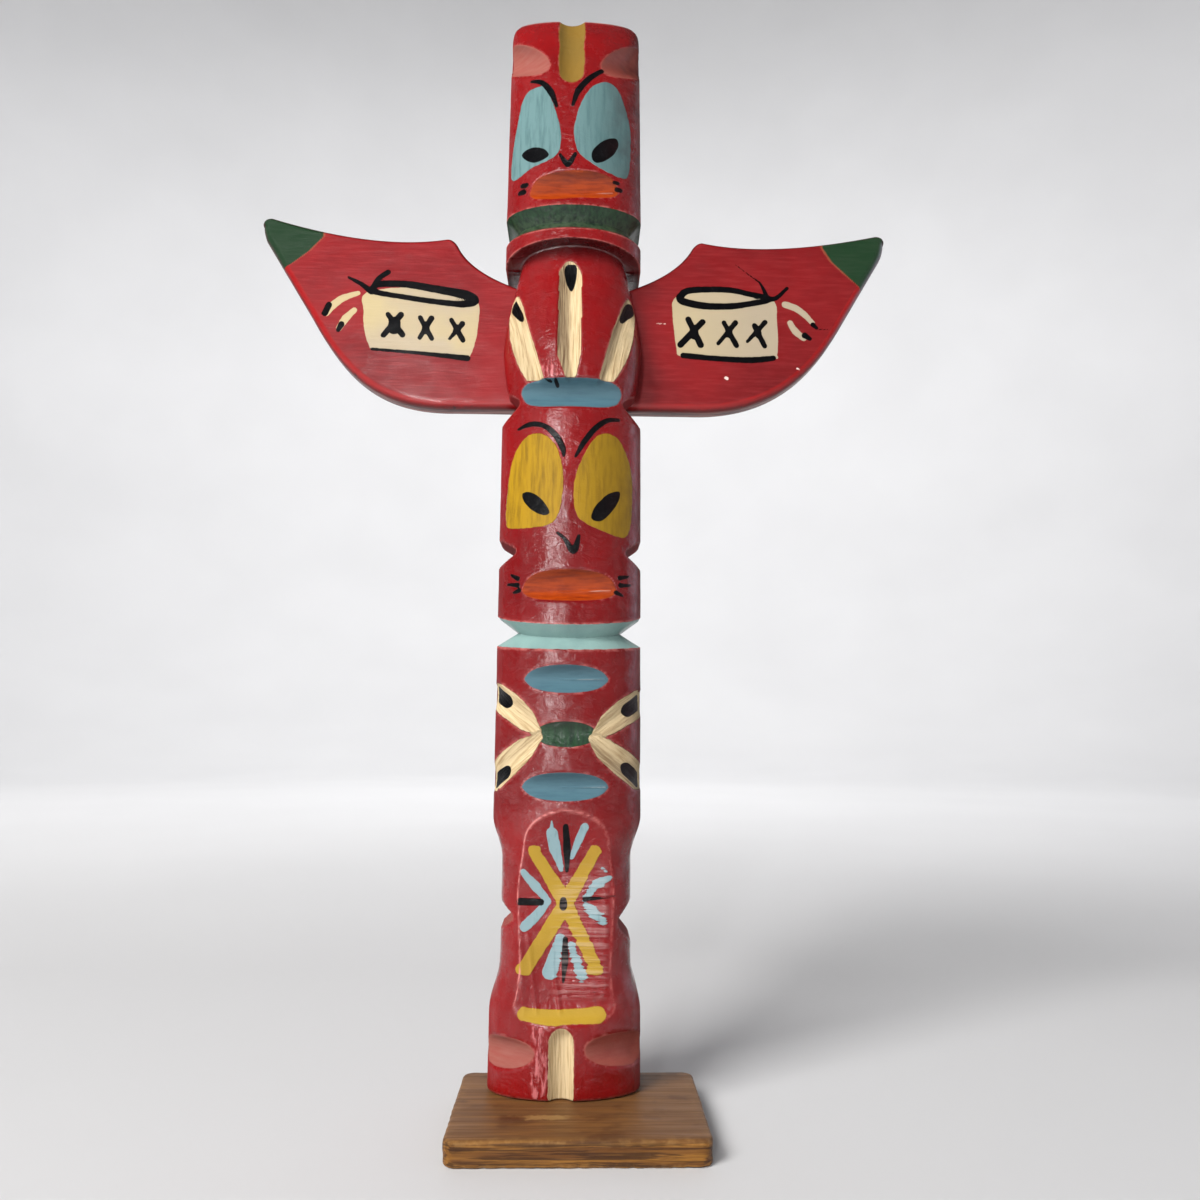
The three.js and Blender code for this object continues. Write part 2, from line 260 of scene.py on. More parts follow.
def poleRows(levels):
    # Rows follow the levels, with extra ones beside every sharp ring and at the slot's ends.
    along = np.concatenate([[0], np.cumsum(np.abs(np.diff(levels, axis=0)).max(1) + 1e-4)])
    spacing = np.interp(levels[:-1, 0], *zip(*rowSpacing))
    counts = np.ceil(np.diff(along) / spacing).astype(int)
    places = [np.linspace(a, b, n, endpoint=False) for a, b, n in zip(along[:-1], along[1:], counts)]
    beltSides = [belt[ring][0] for ring in ("lower", "deep", "upper")]
    neckSides = [neck[ring][0] for ring in ("collarLower", "collarUpper", "deep", "headLower")]
    sharp = np.interp(beltSides + neckSides, levels[:, 0], along)
    slotEnds = [end + step for end in (pole["slotBottom"], pole["slotTop"]) for step in (-0.03, 0.03)]
    slot = np.interp(slotEnds, levels[:, 0], along)
    places = np.unique(np.concatenate(places + [sharp - 0.14, sharp + 0.14, slot, [along[-1]]]))
    rows = np.stack([np.interp(places, along, levels[:, k]) for k in range(4)], 1)
    worn = beltSides[::2] + neckSides[:2] + neckSides[3:] + [pole["top"], pole["bottom"]]
    wornAt = np.interp(worn, levels[:, 0], along)
    edgeWear = np.exp(-((np.abs(places[:, None] - wornAt[None]).min(1) / 0.35) ** 2))
    return rows, edgeWear


def sectionColumns():
    # The section's points: sin and cos of the angle in front, then side, rounded corner, back, corner, side.
    fine = np.linspace(-np.pi / 2, np.pi / 2, 2001)
    steps = np.hypot(np.diff(pole["halfWidth"] * np.sin(fine)), np.diff(pole["bulge"] * np.cos(fine)))
    travelled = np.concatenate([[0], np.cumsum(steps)])
    angle = np.interp(np.linspace(0, travelled[-1], pole["frontColumns"] + 1), travelled, fine)
    radius = pole["cornerRadius"]
    sides, backs = pole["sideColumns"], pole["backColumns"]
    sideY = np.linspace(pole["widestY"], pole["backY"] - radius, sides + 1)[1:]
    turn = np.array([0.35, 0.8, 1.2])
    cornerX = radius * (np.cos(turn) - 1)
    cornerY = pole["backY"] - radius + radius * np.sin(turn)
    backShare = np.linspace(1, -1, backs)
    unit = np.concatenate([np.sin(angle), np.ones(sides + 3), backShare, -np.ones(3 + sides)])
    offset = np.concatenate([
        0 * angle, np.zeros(sides), cornerX, -radius * backShare, -cornerX[::-1], np.zeros(sides)
    ])
    lift = np.concatenate([
        np.full(angle.shape, pole["widestY"]), sideY, cornerY, np.full(backs, pole["backY"]), cornerY[::-1],
        sideY[::-1],
    ])
    bow = np.concatenate([np.cos(angle), np.zeros(2 * sides + 6 + backs)])
    bow[0] = bow[pole["frontColumns"]] = 0
    return unit, offset, lift, bow


def unrolled(x):
    # The distance round the front from its middle, for a place x on the plain section.
    t = np.linspace(-np.pi / 2, np.pi / 2, 801)
    xs, ys = pole["halfWidth"] * np.sin(t), pole["bulge"] * np.cos(t)
    distance = np.concatenate([[0], np.cumsum(np.hypot(np.diff(xs), np.diff(ys)))])
    return np.interp(x, xs, distance - distance[400])


def curve(points, count=60):
    # A Bezier curve of any order by repeated blending of its control points.
    t = np.linspace(0, 1, count)[:, None]
    layers = [np.repeat(np.array([p], float), count, 0) for p in points]
    while len(layers) > 1:
        layers = [a * (1 - t) + b * t for a, b in zip(layers[:-1], layers[1:])]
    return layers[0]


def gougeCut(ray, blank, start, end, radius, overrun=30.0, ball=False, outward=(0, -1, 0)):
    # A cylinder whose deepest line joins two points. A ray meets it where |q + r d| = radius, with q and d
    # measured square to its axis.
    start, end = np.array(start, float), np.array(end, float)
    length = np.linalg.norm(end - start)
    axis = (end - start) / length
    away = np.array(outward, float)
    away -= away.dot(axis) * axis
    away /= np.linalg.norm(away)
    middle = start + away * radius
    origin, direction = ray
    q = origin - middle
    qAlong, dAlong = q @ axis, direction @ axis
    qSquare, dSquare = q - qAlong[..., None] * axis, direction - dAlong[..., None] * axis
    a = (dSquare**2).sum(-1)
    b = (qSquare * dSquare).sum(-1)
    c = (qSquare**2).sum(-1) - radius**2
    root = b * b - a * c
    reach = np.where((root > 0) & (b < 0), (-b - np.sqrt(np.maximum(root, 0))) / a, noHit)
    place = qAlong + reach * dAlong
    low = 0 if ball else -overrun
    reach = np.where((place > low) & (place < length + overrun), reach, noHit)
    toPoint = blank - middle
    pointAlong = toPoint @ axis
    square = np.linalg.norm(toPoint - pointAlong[..., None] * axis, axis=-1)
    inside = np.minimum(
        radius - square, np.minimum(pointAlong - low, length + overrun - pointAlong) + (9 if ball else 0)
    )
    if ball:
        qd = (q * direction).sum(-1)
        ballRoot = qd * qd - (q**2).sum(-1) + radius**2
        ballReach = np.where((ballRoot > 0) & (qd < 0), -qd - np.sqrt(np.maximum(ballRoot, 0)), noHit)
        reach = np.minimum(reach, ballReach)
        inside = np.where(pointAlong > 0, radius - square, radius - np.linalg.norm(toPoint, axis=-1))
    return reach, inside


def scoopCut(ray, blank, z, height, depth):
    # A level gouge across the front, whose radius comes from its height and depth.
    radius = ((height / 2) ** 2 + depth**2) / (2 * depth)
    ends = [(side * pole["halfWidth"], frontY + depth, z) for side in (-1, 1)]
    return gougeCut(ray, blank, *ends, radius)


def creaseCut(ray, blank, z, up, down, depth, tilt=0.0, lean=0.0, straight=0.45, power=3):
    # Two knife cuts that meet at a crease, with u the height above or below it in cut heights:
    # floor = front + depth * (1 - straight * u - (1 - straight) * u^power).
    origin, direction = ray
    rise = blank[..., 2] - z - tilt * blank[..., 0] / pole["halfWidth"]
    u = np.minimum(np.where(rise > 0, rise / up, -rise / down), 4)
    floorY = frontY + lean * blank[..., 0] + depth * (1 - straight * u - (1 - straight) * u**power)
    forward = -direction[..., 1]
    reach = np.where(forward > 1e-3, (pole["innerY"] - floorY) / np.maximum(forward, 1e-3), noHit)
    return reach, (floorY - blank[..., 1]) * (up + down) / (2.6 * depth)


def featherCut(blankReach, around, z, line, widths, depth):
    # A knife's stroke that follows the surface, on the unrolled front:
    # depth * (1 - (distance / half width)^1.3).
    inside = strokeField(around, z, line, widths)
    share = max(widths) / 2
    cut = depth * (1 - ((share - np.minimum(inside, share)) / share) ** 1.3)
    # How far each point is along the stroke and across it, for the knife's long marks.
    start, end = np.array(line[0]), np.array(line[-1])
    way = (end - start) / np.linalg.norm(end - start)
    along = (around - start[0]) * way[0] + (z - start[1]) * way[1]
    across = (around - start[0]) * way[1] - (z - start[1]) * way[0]
    return blankReach - np.maximum(cut, -1.5), inside, along, across


def notchCut(ray, blank, side, upper, deepest, lower, inner, edge=pole["halfWidth"]):
    # A notch in one side, with u the height in notch halves, rounded at the point:
    # x = inner + (edge - inner) * |u|.
    origin, direction = ray
    rise = blank[..., 2] - deepest
    u = np.where(rise > 0, rise / (upper - deepest), rise / (deepest - lower))
    rounding = 0.3
    bend = np.where(np.abs(u) > rounding, np.abs(u), (rounding + u * u / rounding) / 2)
    wallX = inner + (edge - inner) * bend
    toSide = direction[..., 0] * side
    reach = np.where(toSide > 1e-3, wallX / np.maximum(toSide, 1e-3), noHit)
    return reach, (blank[..., 0] * side - wallX) * 0.8


def panelCut(ray, blank):
    # The flat panel's profile: a scooped ledge, a nearly straight floor, and a curve out to the surface.
    ledge = curve([(23.9, -0.1), (24.6, 2), (28.1, 2.5)], 30)
    top = curve([(54, 3.3), (68, 2.9), (76.2, -0.1)], 30)
    heights, depths = np.concatenate([[(23.4, -4)], ledge, top, [(77, -4)]]).T
    origin, direction = ray
    z = origin[..., 2]
    floorY = frontY + np.interp(z, heights, depths, left=-99, right=-99)
    forward = -direction[..., 1]
    reach = np.where(
        (forward > 1e-3) & (floorY > -50), (pole["innerY"] - floorY) / np.maximum(forward, 1e-3), noHit
    )
    x = reach * direction[..., 0]
    # It is hollowed a little from side to side: 0.0048 * x^2 - 0.25 mm, which grows no more past about 13 mm.
    hollow = np.where(reach < noHit, 0.0048 * np.minimum(x * x, 170) - 0.25, 0)
    reach = reach + hollow * easeBetween(z, 27, 31) * (1 - easeBetween(z, 62, 72))
    # The chisel left three faint upright ridges on the panel's left.
    for lowX, highX, top in ((-10, -12, 52), (-7, -9.4, 46), (-1.1, -2.8, 36)):
        ridgeX = lowX + (highX - lowX) * (z - 27) / (top - 27)
        fade = easeBetween(z, 25.5, 27) * (1 - easeBetween(z, top - 5, top + 3))
        reach = reach + np.where(reach < noHit, 0.28 * fade * np.maximum(0, 1 - np.abs(x - ridgeX) / 0.75), 0)
    return reach, floorY - blank[..., 1]


def slotCut(ray, blank):
    # The slot that the wing board passes through, open to the back.
    origin, direction = ray
    z = origin[..., 2]
    backward = direction[..., 1]
    within = (z > pole["slotBottom"]) & (z < pole["slotTop"]) & (backward > 1e-3)
    return np.where(within, (pole["slotY"] - pole["innerY"]) / np.maximum(backward, 1e-3), noHit), None


levels = poleLevels()
rows, ringWear = poleRows(levels)
unit, offset, lift, bow = sectionColumns()
rowCount, columnCount = len(rows), len(unit)
print("pole grid", rowCount, "rows by", columnCount, "columns")

halfWidths = (pole["halfWidth"] - rows[:, 2])[:, None]
bulges = (pole["bulge"] - rows[:, 3])[:, None]
blank = np.empty((rowCount, columnCount, 3))
blank[..., 0] = halfWidths * unit + offset
blank[..., 1] = lift - bulges * bow
blank[..., 2] = rows[:, :1] + (rows[:, 1:2] - rows[:, :1]) * bow
origin = np.zeros_like(blank)
origin[..., 1] = pole["innerY"]
origin[..., 2] = blank[..., 2]
spoke = blank - origin
blankReach = np.linalg.norm(spoke, axis=-1)
direction = spoke / blankReach[..., None]
ray = (origin, direction)
blankX, blankY, blankZ = blank[..., 0], blank[..., 1], blank[..., 2]

poleColours = (
    "cream", "salmon", "gold", "blue", "green", "aqua", "orange", "teal", "mustard", "slate", "black",
)
paint = {name: np.full(blankReach.shape, farOut) for name in poleColours}
reachSoFar = blankReach.copy()
wear = np.repeat(ringWear[:, None], columnCount, 1)
panelReach, panelInside = panelCut(ray, blank)
carvings = [("", panelReach, panelInside), ("", *slotCut(ray, blank))]


def carve(colour, cut, *where, **how):
    carvings.append((colour, *cut(ray, blank, *where, **how)))


# Creased cuts: paint, height of the crease, the cut above and below it, depth, tilt, lean and profile.
creases = [
    ("orange", 246.7, 6.1, 2.3, 2.3, 0.9, 0, 0.3, 5),
    ("orange", 132.9, 5.6, 2.9, 2.3, 0.1, 0, 0.35, 4),
    ("blue", 109.4, 3.8, 3.6, 1.75, 0, -0.014),
    ("green", 95.2, 3.3, 3.3, 0.9, 0, -0.012),
    ("blue", 81.8, 3.7, 3.6, 1.8, 0, -0.014),
]
for colour, *crease in creases:
    carve(colour, creaseCut, *crease)
carve("blue", scoopCut, 187.5, 8.4, 3.8)
crestBend = (-1.2, 2.5, 293)
carve("gold", gougeCut, (-1.2, 1.2, 283.2), crestBend, 5.2, ball=True)
carve("gold", gougeCut, crestBend, (-1.2, 6.9, pole["top"]), 5.35)
carve("cream", gougeCut, (-0.7, frontY + 2, 20), (-0.7, frontY + 2.2, pole["bottom"]), 3.6, ball=True)
for side in (-1, 1):
    temple = [(side * 7.4, 0.5, 286.8), (side * pole["halfWidth"], 11.4, 294.2)]
    carve("salmon", gougeCut, *temple, 5.8, outward=(side * 0.7, -0.7, 0))
    carve("notch", notchCut, side, 190.6, 185.6, 180, 13.4)
    carve("notch", notchCut, side, 147.6, 143.7, 139.8, 14 + side * 0.4)
scuffed = {"upper": 52.4, "deepest": 48.9, "lower": 45.5, "inner": 12.8, "edge": 16.9}
carve("scuff", notchCut, -1, **scuffed)
carve("notch", notchCut, 1, 52.6, 47.8, 42.6, 12.8, 16.9)
carve("salmon", gougeCut, (-7.2, 0.1, 17), (-pole["halfWidth"], 9, 16.4), 4.2, outward=(-0.7, -0.7, 0))
carve("salmon", gougeCut, (5.2, -0.1, 18), (pole["halfWidth"], 9.2, 17), 4.2, outward=(0.7, -0.7, 0))
# Feathers: the knife's line on the plain section, its widths and its depth.
feathers = [
    ([(-7.9, 96), (-11.2, 98.9), (-15.2, 102.3), (-19.3, 105.5)], [2.2, 5.7, 7.1, 7.6], 1.2),
    ([(-7.6, 94.3), (-11.4, 91.2), (-15.6, 87.5), (-19.3, 83.4)], [2.2, 5.7, 7.1, 7.6], 1.2),
    ([(7.6, 95.5), (10.9, 97.9), (15, 100.9), (19.2, 103.8)], [2.2, 5.7, 7.1, 7.6], 1.2),
    ([(6.6, 94), (10, 91.2), (14.9, 87.5), (19.2, 83.6)], [2.2, 5.7, 7.1, 7.6], 1.2),
    ([(-0.9, 225.2), (-0.9, 221), (-1.1, 212), (-1, 202), (-0.3, 193)], [4.2, 8, 8.8, 8.4, 3.6], 1.8),
    (
        [(-15.9, 217), (-16.1, 213), (-15, 205.5), (-12.7, 198), (-10.1, 191.6)], [1.8, 5.3, 6.8, 6.5, 4.8],
        1.4,
    ),
    (
        [(15.9, 216.6), (15.9, 212.5), (14.4, 205.3), (12.4, 198.5), (9.9, 192.4)], [1.8, 5.3, 7, 6.4, 4.4],
        1.4,
    ),
]
around = unrolled(blankX) + np.sign(unit) * np.maximum(blankY - pole["widestY"], 0)
featherShade = []
# The back is kept out of the feathers' reach.
around = np.where(np.abs(lift - pole["backY"]) < 1e-6, 99, around)
markAlong, markAcross = blankZ, blankX
for order, (line, widths, depth) in enumerate(feathers):
    feather = [(float(unrolled(px)), pz) for px, pz in line]
    reach, inside, along, across = featherCut(blankReach, around, blankZ, feather, widths, depth)
    carvings.append(("cream", reach, inside))
    # Each feather has marks of its own.
    cutHere = inside > -0.4
    markAlong = np.where(cutHere, along + 40 * order, markAlong)
    markAcross = np.where(cutHere, across + 11 * order, markAcross)
    featherShade.append((cutHere, across / (max(widths) / 2)))
# How much painted shade a cut gets: from nought at its crease to one at its upper edge, and across each
# feather.
flank = np.zeros(blankReach.shape)
shadeOf = (0.2, 0.25, 0.4, 0.55, 0.95, 0.2, 0.8)
for _, creaseZ, up, down, *_ in creases:
    near = (blankZ > creaseZ - down) & (blankZ < creaseZ + up)
    flank = np.where(near, np.clip((blankZ - creaseZ) / up, 0, 1), flank)
for (near, across), share in zip(featherShade, shadeOf):
    flank = np.where(near, share * easeBetween(across, -0.25, 0.5), flank)
scuff = np.full(blankReach.shape, farOut)
# The pole's sides were rubbed matt, like its notches.
notchShare = 0.75 * easeBetween(np.abs(blankX), 17.4, 19.2)
for colour, reach, inside in carvings:
    blended = softMin(reachSoFar, reach, pole["arris"])
    wear = np.maximum(wear, np.clip((np.minimum(reachSoFar, reach) - blended) / (pole["arris"] / 4), 0, 1))
    reachSoFar = blended
    if colour in ("scuff", "notch"):
        notchShare = np.maximum(notchShare, easeBetween(inside, -0.3, 0.3))
    if colour == "scuff":
        # Only the notch's lower half is scuffed.
        scuff = np.where(blankZ < scuffed["deepest"], inside, farOut)
    elif colour not in ("", "notch"):
        paint[colour] = np.maximum(paint[colour], inside)

# Hand work leaves the wood and its enamel a little uneven.
uneven = 0.05 * ripple(blankX * 0.45, blankZ * 0.22, 1)
uneven = uneven + 0.02 * ripple(blankX * 1.9, blankZ * 0.9, 2)
reachSoFar = reachSoFar - 0.06 + uneven * (blankZ < 303)
surface = origin + direction * reachSoFar[..., None]
# A thin line where the panel's floor meets the blank, which carries a painted highlight that fades to the
# right.
panelLine = 0.14 - np.abs(panelReach - blankReach)
panelLine = np.where((blankZ > 26) & (blankZ < 77), panelLine, -1)
panelLine -= 0.09 * easeBetween(blankX, 2, 9)
print("pole carved")

x, z = surface[..., 0], surface[..., 2]
isFront = np.repeat((np.arange(columnCount) <= pole["frontColumns"])[None], rowCount, 0)


def addPaint(colour, field):
    paint[colour] = np.maximum(paint[colour], np.where(isFront, field, farOut))


def addStroke(colour, line, widths):
    addPaint(colour, strokeField(x, z, line, widths))


def paintPicture(picture):
    for colour, corners in picture["areas"]:
        addPaint(colour, areaField(x, z, corners))
    for colour, line, widths in picture["strokes"]:
        addStroke(colour, line, widths)


upperFace = {
    "areas": [
        # The left eye.
        ("teal", [
            (-8.3, 278.6), (-10.4, 279.4), (-14.4, 277.8), (-16.4, 270.5), (-18.2, 258), (-17.4, 252.4),
            (-12, 254.4), (-5, 257.6), (-3.9, 264), (-5.6, 271.5),
        ]),
        # The right eye.
        ("teal", [
            (9, 281), (5.2, 279.2), (2.2, 274.5), (0.2, 268), (-0.1, 263.6), (1.5, 258), (6.8, 254.2),
            (13.2, 252.2), (15.6, 254.6), (16.2, 266.8), (14.5, 274.6), (12.2, 279.6),
        ]),
        # The pupils.
        ("black", [
            (-15.1, 259.2), (-14, 260.3), (-11.6, 260.7), (-8.8, 259.8), (-7.2, 257.8), (-8.7, 256.5),
            (-11.5, 255.9), (-13.8, 257.3),
        ]),
        ("black", [
            (4.9, 258), (5.6, 259.8), (7.6, 262), (9.8, 263.5), (11.8, 264), (12.6, 262.8), (12.2, 260.8),
            (10.9, 258.4), (8.7, 256.4), (6.5, 255.4), (5.2, 256.2),
        ]),
    ],
    "strokes": [
        # The brows.
        ("black", [(-12.6, 281.6), (-9.6, 280.6), (-6.9, 277.2), (-5.2, 272.6)], [0.9, 1.5, 1.9, 0.9]),
        ("black", [(7.6, 284.4), (4, 281.4), (0.9, 277.4), (-0.6, 272.8)], [1.4, 1.7, 1.9, 0.9]),
        # The nose.
        ("black", [(-4.1, 257.6), (-1.8, 254.6), (0.3, 257.8)], [0.8, 2.0, 1.0]),
    ],
}
paintPicture(upperFace)
for dotX, dotZ, size in ((-14.2, 249.6, 1.5), (-14.8, 247.6, 1.5), (11.9, 250.4, 1.1), (12.6, 248.4, 1.4)):
    addStroke("black", [(dotX - 0.5, dotZ), (dotX + 0.6, dotZ - 0.1)], size)

middleFace = {
    "areas": [
        # The left eye.
        ("mustard", [
            (-8.6, 175.8), (-13, 174.4), (-16, 168.6), (-17.3, 159), (-17.4, 152), (-15.8, 150), (-8, 150),
            (-4, 151.8), (-2.3, 157), (-2.1, 165), (-4.2, 172.5),
        ]),
        # The right eye.
        ("mustard", [
            (9.7, 176.2), (5.8, 173.8), (2, 166), (0.9, 160.2), (1.5, 154.2), (3.5, 151.4), (8.3, 149.2),
            (14, 147.6), (16, 149.6), (16.8, 156), (16.5, 166.6), (13.6, 174),
        ]),
        # The pupils.
        ("black", [
            (-13.1, 159.1), (-11.4, 159.7), (-8.8, 158.5), (-6.6, 156.1), (-5.5, 153.7), (-7.1, 153.1),
            (-9.7, 154.2), (-12.1, 156.5),
        ]),
        ("black", [
            (5.8, 152.1), (6, 154.3), (7.6, 156.8), (10.4, 159.4), (13.3, 160.2), (13, 157.5),
            (10.9, 154.1), (8.3, 151.7),
        ]),
    ],
    "strokes": [
        # The brows.
        (
            "black",
            [(-14.5, 177.5), (-11.2, 178.6), (-7.5, 178), (-4.2, 175.2), (-2.2, 171.6), (-1.9, 169.4)],
            [0.7, 1.5, 1.4, 1.7, 1.7, 0.7],
        ),
        (
            "black", [(12.9, 180.4), (9.7, 179.8), (6.5, 177.3), (3.5, 173.3), (1.3, 169.3)],
            [1, 1.4, 1.6, 1.6, 0.8],
        ),
        # The nose.
        (
            "black", [(-3.3, 148.2), (-1.4, 146.6), (0.6, 143.6), (1.5, 144.2), (2.4, 147.4)],
            [0.8, 1, 1.9, 1.9, 0.9],
        ),
    ],
}
paintPicture(middleFace)
for whisker in (
    [(-15.6, 137.2), (-13.8, 136.2)],
    [(-16.6, 134.8), (-13.8, 134.4)],
    [(-14.9, 132.4), (-13.4, 132.9)],
    [(15.8, 137.2), (13.4, 136.6)],
    [(16.4, 134.8), (13.6, 134.6)],
    [(14.2, 131.9), (12.4, 132.6)],
):
    addStroke("black", whisker, [0.7, 1.3])

# The chest's feathers stop at the blue band.
bandTop = 191.2
onChest = (z > 180) & (z < 200)
aboveBand = np.minimum(-paint["blue"], z - bandTop)
paint["cream"] = np.where(onChest, np.minimum(paint["cream"], aboveBand), paint["cream"])
# Feather tips, each on its own cut, and two small marks at the band.
chestTips = {
    "areas": [
        ("black", [
            (-0.7, 226.4), (0.6, 226.2), (1.1, 224.6), (0.8, 221.2), (-0.2, 218.3), (-1.5, 219.8),
            (-2.3, 222.7), (-2.4, 225), (-1.7, 226.3),
        ]),
        ("black", [
            (-16.1, 216.7), (-17.1, 215.5), (-17.2, 213.3), (-15.4, 210.6), (-13.9, 209.3), (-13.6, 210.4),
            (-14.6, 213.5), (-15.8, 216.2),
        ]),
        ("black", [
            (15.7, 216.3), (17, 215.8), (17.3, 213.2), (15.5, 211), (14, 209.5), (13.1, 209.8),
            (13.6, 212.2), (14.7, 215),
        ]),
    ],
    "strokes": [
        ("black", [(-7.4, 191.4), (-5.6, 191.0)], [0.3, 0.6]),
        ("black", [(-4.4, 191.2), (-3.9, 190.2)], [0.9, 1.1]),
    ],
}
paintPicture(chestTips)
tipSpots = [
    [(-19.2, 105.6), (-16.9, 103.7)], [(-19.2, 83), (-16.7, 85.1)], [(19, 103.6), (16.4, 101.6)],
    [(19, 83.4), (16.2, 86.1)],
]
for line in tipSpots:
    spot = [(float(unrolled(px)), pz) for px, pz in line]
    paint["black"] = np.maximum(paint["black"], strokeField(around, blankZ, spot, [4.2, 3.7]))
bandEdge = areaField(x, z, [
    (-14.9, 187.8), (-11.6, 190.7), (-8.3, 192.1), (-3.7, 192.6), (3.2, 192.5), (7.8, 192.1), (12.5, 190.5),
    (14.8, 187.8), (14.5, 185.6), (12.2, 182.9), (7.8, 183), (-1.3, 182.8), (-11.4, 182.9), (-14.4, 185.1),
])
paint["blue"] = np.where((z > 178) & (z < 196), np.minimum(paint["blue"], bandEdge + 0.2), paint["blue"])
# Pale pink patches at the foot and at the chest's bottom are a painted highlight.
highlightPatch = np.maximum(
    areaField(x, z, [
        (-8.1, 23.4), (-5, 22.8), (-4.2, 18.3), (-4.3, 8.7), (-7.5, 7.1), (-7.8, 14.3), (-6.8, 18.2),
        (-8, 21),
    ]),
    areaField(x, z, [(-8, 191.4), (-8.2, 194.7), (-6, 196.8), (-4.4, 196.1), (-3.6, 192.6), (-4.1, 191.3)]),
)

# The rays of the lower panel, its gold foot line and its thin black marks.
lowerPanel = {
    "areas": [],
    "strokes": [
        ("slate", [(-3.7, 70.2), (-2.9, 66.4), (-1.2, 60.8)], [2.9, 3, 1.2]),
        ("slate", [(-3.8, 73.2), (-3.7, 70.4)], [0.5, 1.2]),
        ("slate", [(4.7, 71.8), (3.2, 68.4), (1.4, 64)], [2.1, 2, 1.2]),
        ("slate", [(-11, 60.4), (-7.9, 56.9), (-4.6, 53.2)], [1.5, 2.4, 1.6]),
        ("slate", [(-4.6, 53), (-7.3, 49.6), (-10.3, 46.9)], [1.8, 2.5, 2.6]),
        ("slate", [(11.3, 59), (7.9, 57.2), (5, 53.6)], [1.2, 2.3, 1.4]),
        ("slate", [(9.2, 61.2), (10.4, 60.6)], [0.6, 0.5]),
        ("slate", [(4.9, 53), (7.1, 50.1), (9.7, 48)], [1.4, 2.5, 2.2]),
        ("slate", [(-1.4, 44), (-3.7, 36)], [2.1, 3.9]),
        ("slate", [(1.4, 42.4), (4.4, 34.8)], [1.7, 2.6]),
        ("gold", [(-8.3, 65.6), (-0.2, 53)], [2.8, 3.9]),
        ("gold", [(7.4, 65.6), (0.2, 53)], [3, 3.9]),
        ("gold", [(-9.8, 37.2), (-0.2, 52)], [3.6, 3.9]),
        ("gold", [(8, 36.6), (0.2, 52)], [3.3, 3.6]),
        ("gold", [(-11.2, 36.7), (-9.6, 36.4)], [2.5, 2.6]),
        ("gold", [(-8.9, 66.2), (-7.2, 66.1)], 1.5),
        ("gold", [(6.8, 66.4), (8.3, 65.5)], 1.5),
        ("gold", [(6.4, 36.3), (8.6, 36.9)], 1.9),
        ("gold", [(-10.2, 26.2), (-4, 25.5), (2, 25.7), (8.6, 26)], [3, 3.3, 3.1, 3.7]),
        ("black", [(-0.2, 71.8), (0.2, 66), (0.2, 60.6)], [1.5, 2, 0.9]),
        ("black", [(-11.6, 53), (-6.3, 52.8)], [1.9, 1.7]),
        ("black", [(-0.6, 53.1), (-0.6, 51.7)], [1.9, 2]),
        ("black", [(4.8, 53.5), (8.7, 53.9)], [1.2, 0.7]),
        ("black", [(8.5, 54.1), (12.5, 54.4)], [0.45, 0.35]),
        ("black", [(8.5, 53.6), (12.5, 53.4)], [0.5, 0.35]),
        ("black", [(0, 43.8), (0, 38.8), (-0.4, 33.4)], [1.3, 1.8, 0.6]),
    ],
}
paintPicture(lowerPanel)

# A painted highlight lies along a thin line on each crease, mostly right of the middle.
creaseHighlight = np.full(x.shape, farOut)
for line in (
    [(2, 246.8), (11, 247.4)], [(-3, 132.8), (11, 133)], [(-2, 109.3), (9.6, 109.4)],
    [(-1, 81.7), (9.8, 81.8)], [(1, 95.1), (6, 95.2)],
):
    creaseHighlight = np.maximum(creaseHighlight, strokeField(x, z, line, [0.4, 0.9]))
# The belt's groove and the neck's groove are painted from ring to ring.
for colour, low, high in (
    ("aqua", belt["lower"][0] + 0.2, belt["upper"][0]),
    ("green", neck["collarUpper"][0] + 0.7, neck["headLower"][0]),
):
    ring = np.minimum(rows[:, 0] - low, high - rows[:, 0])
    paint[colour] = np.maximum(paint[colour], ring[:, None])
print("pictures painted on the pole")

poleTop = (0, 13.5, pole["top"])
poleBottom = (0, 11, pole["bottom"])
polePoints, poleQuads, poleFan, poleCaps = closedStack(surface, poleTop, poleBottom, 6, 6)
polePoints[:, 0] += pole["axisX"]


def poleField(values, onCaps=0.0):
    # One number for every point: the grid's own, and the same one all over the two caps.
    return np.concatenate([values.ravel(), np.full(poleCaps, onCaps)])


def poleCover(field):
    return poleField(np.clip(field, -2, 2), -2.0)


# Chatter marks cross the panel's right half.
chatter = easeBetween(x, -5, 1) * (1 - easeBetween(x, 10, 11.5)) * easeBetween(z, 28.5, 31)
chatter = chatter * (1 - easeBetween(z, 52, 66)) * isFront
# Painted shade lies in the corner under the collar, from 0 about 2.5 mm below it to 1 at the collar.
underCollarShade = np.clip((rows[:, 0] - 224.9) / 2.4, 0, 1) * (rows[:, 0] < neck["collarLower"][0] + 0.02)
poleFields = {name: poleCover(field) for name, field in paint.items()}
poleFields["scuff"] = poleCover(scuff)
poleFields["highlightPatch"] = poleCover(np.where(isFront, highlightPatch, -2))
poleFields["crease"] = poleCover(np.where(isFront, creaseHighlight, -2))
poleFields["panelLine"] = poleField(np.clip(np.where(isFront, panelLine, farOut), -1, 1), -1.0)
for name, values in (
    ("flank", flank),
    ("notch", notchShare),
    ("markAlong", markAlong),
    ("markAcross", markAcross),
    ("underCollarShade", np.repeat(underCollarShade[:, None], columnCount, 1)),
    ("chatter", chatter),
    ("wear", wear),
):
    poleFields[name] = poleField(values)

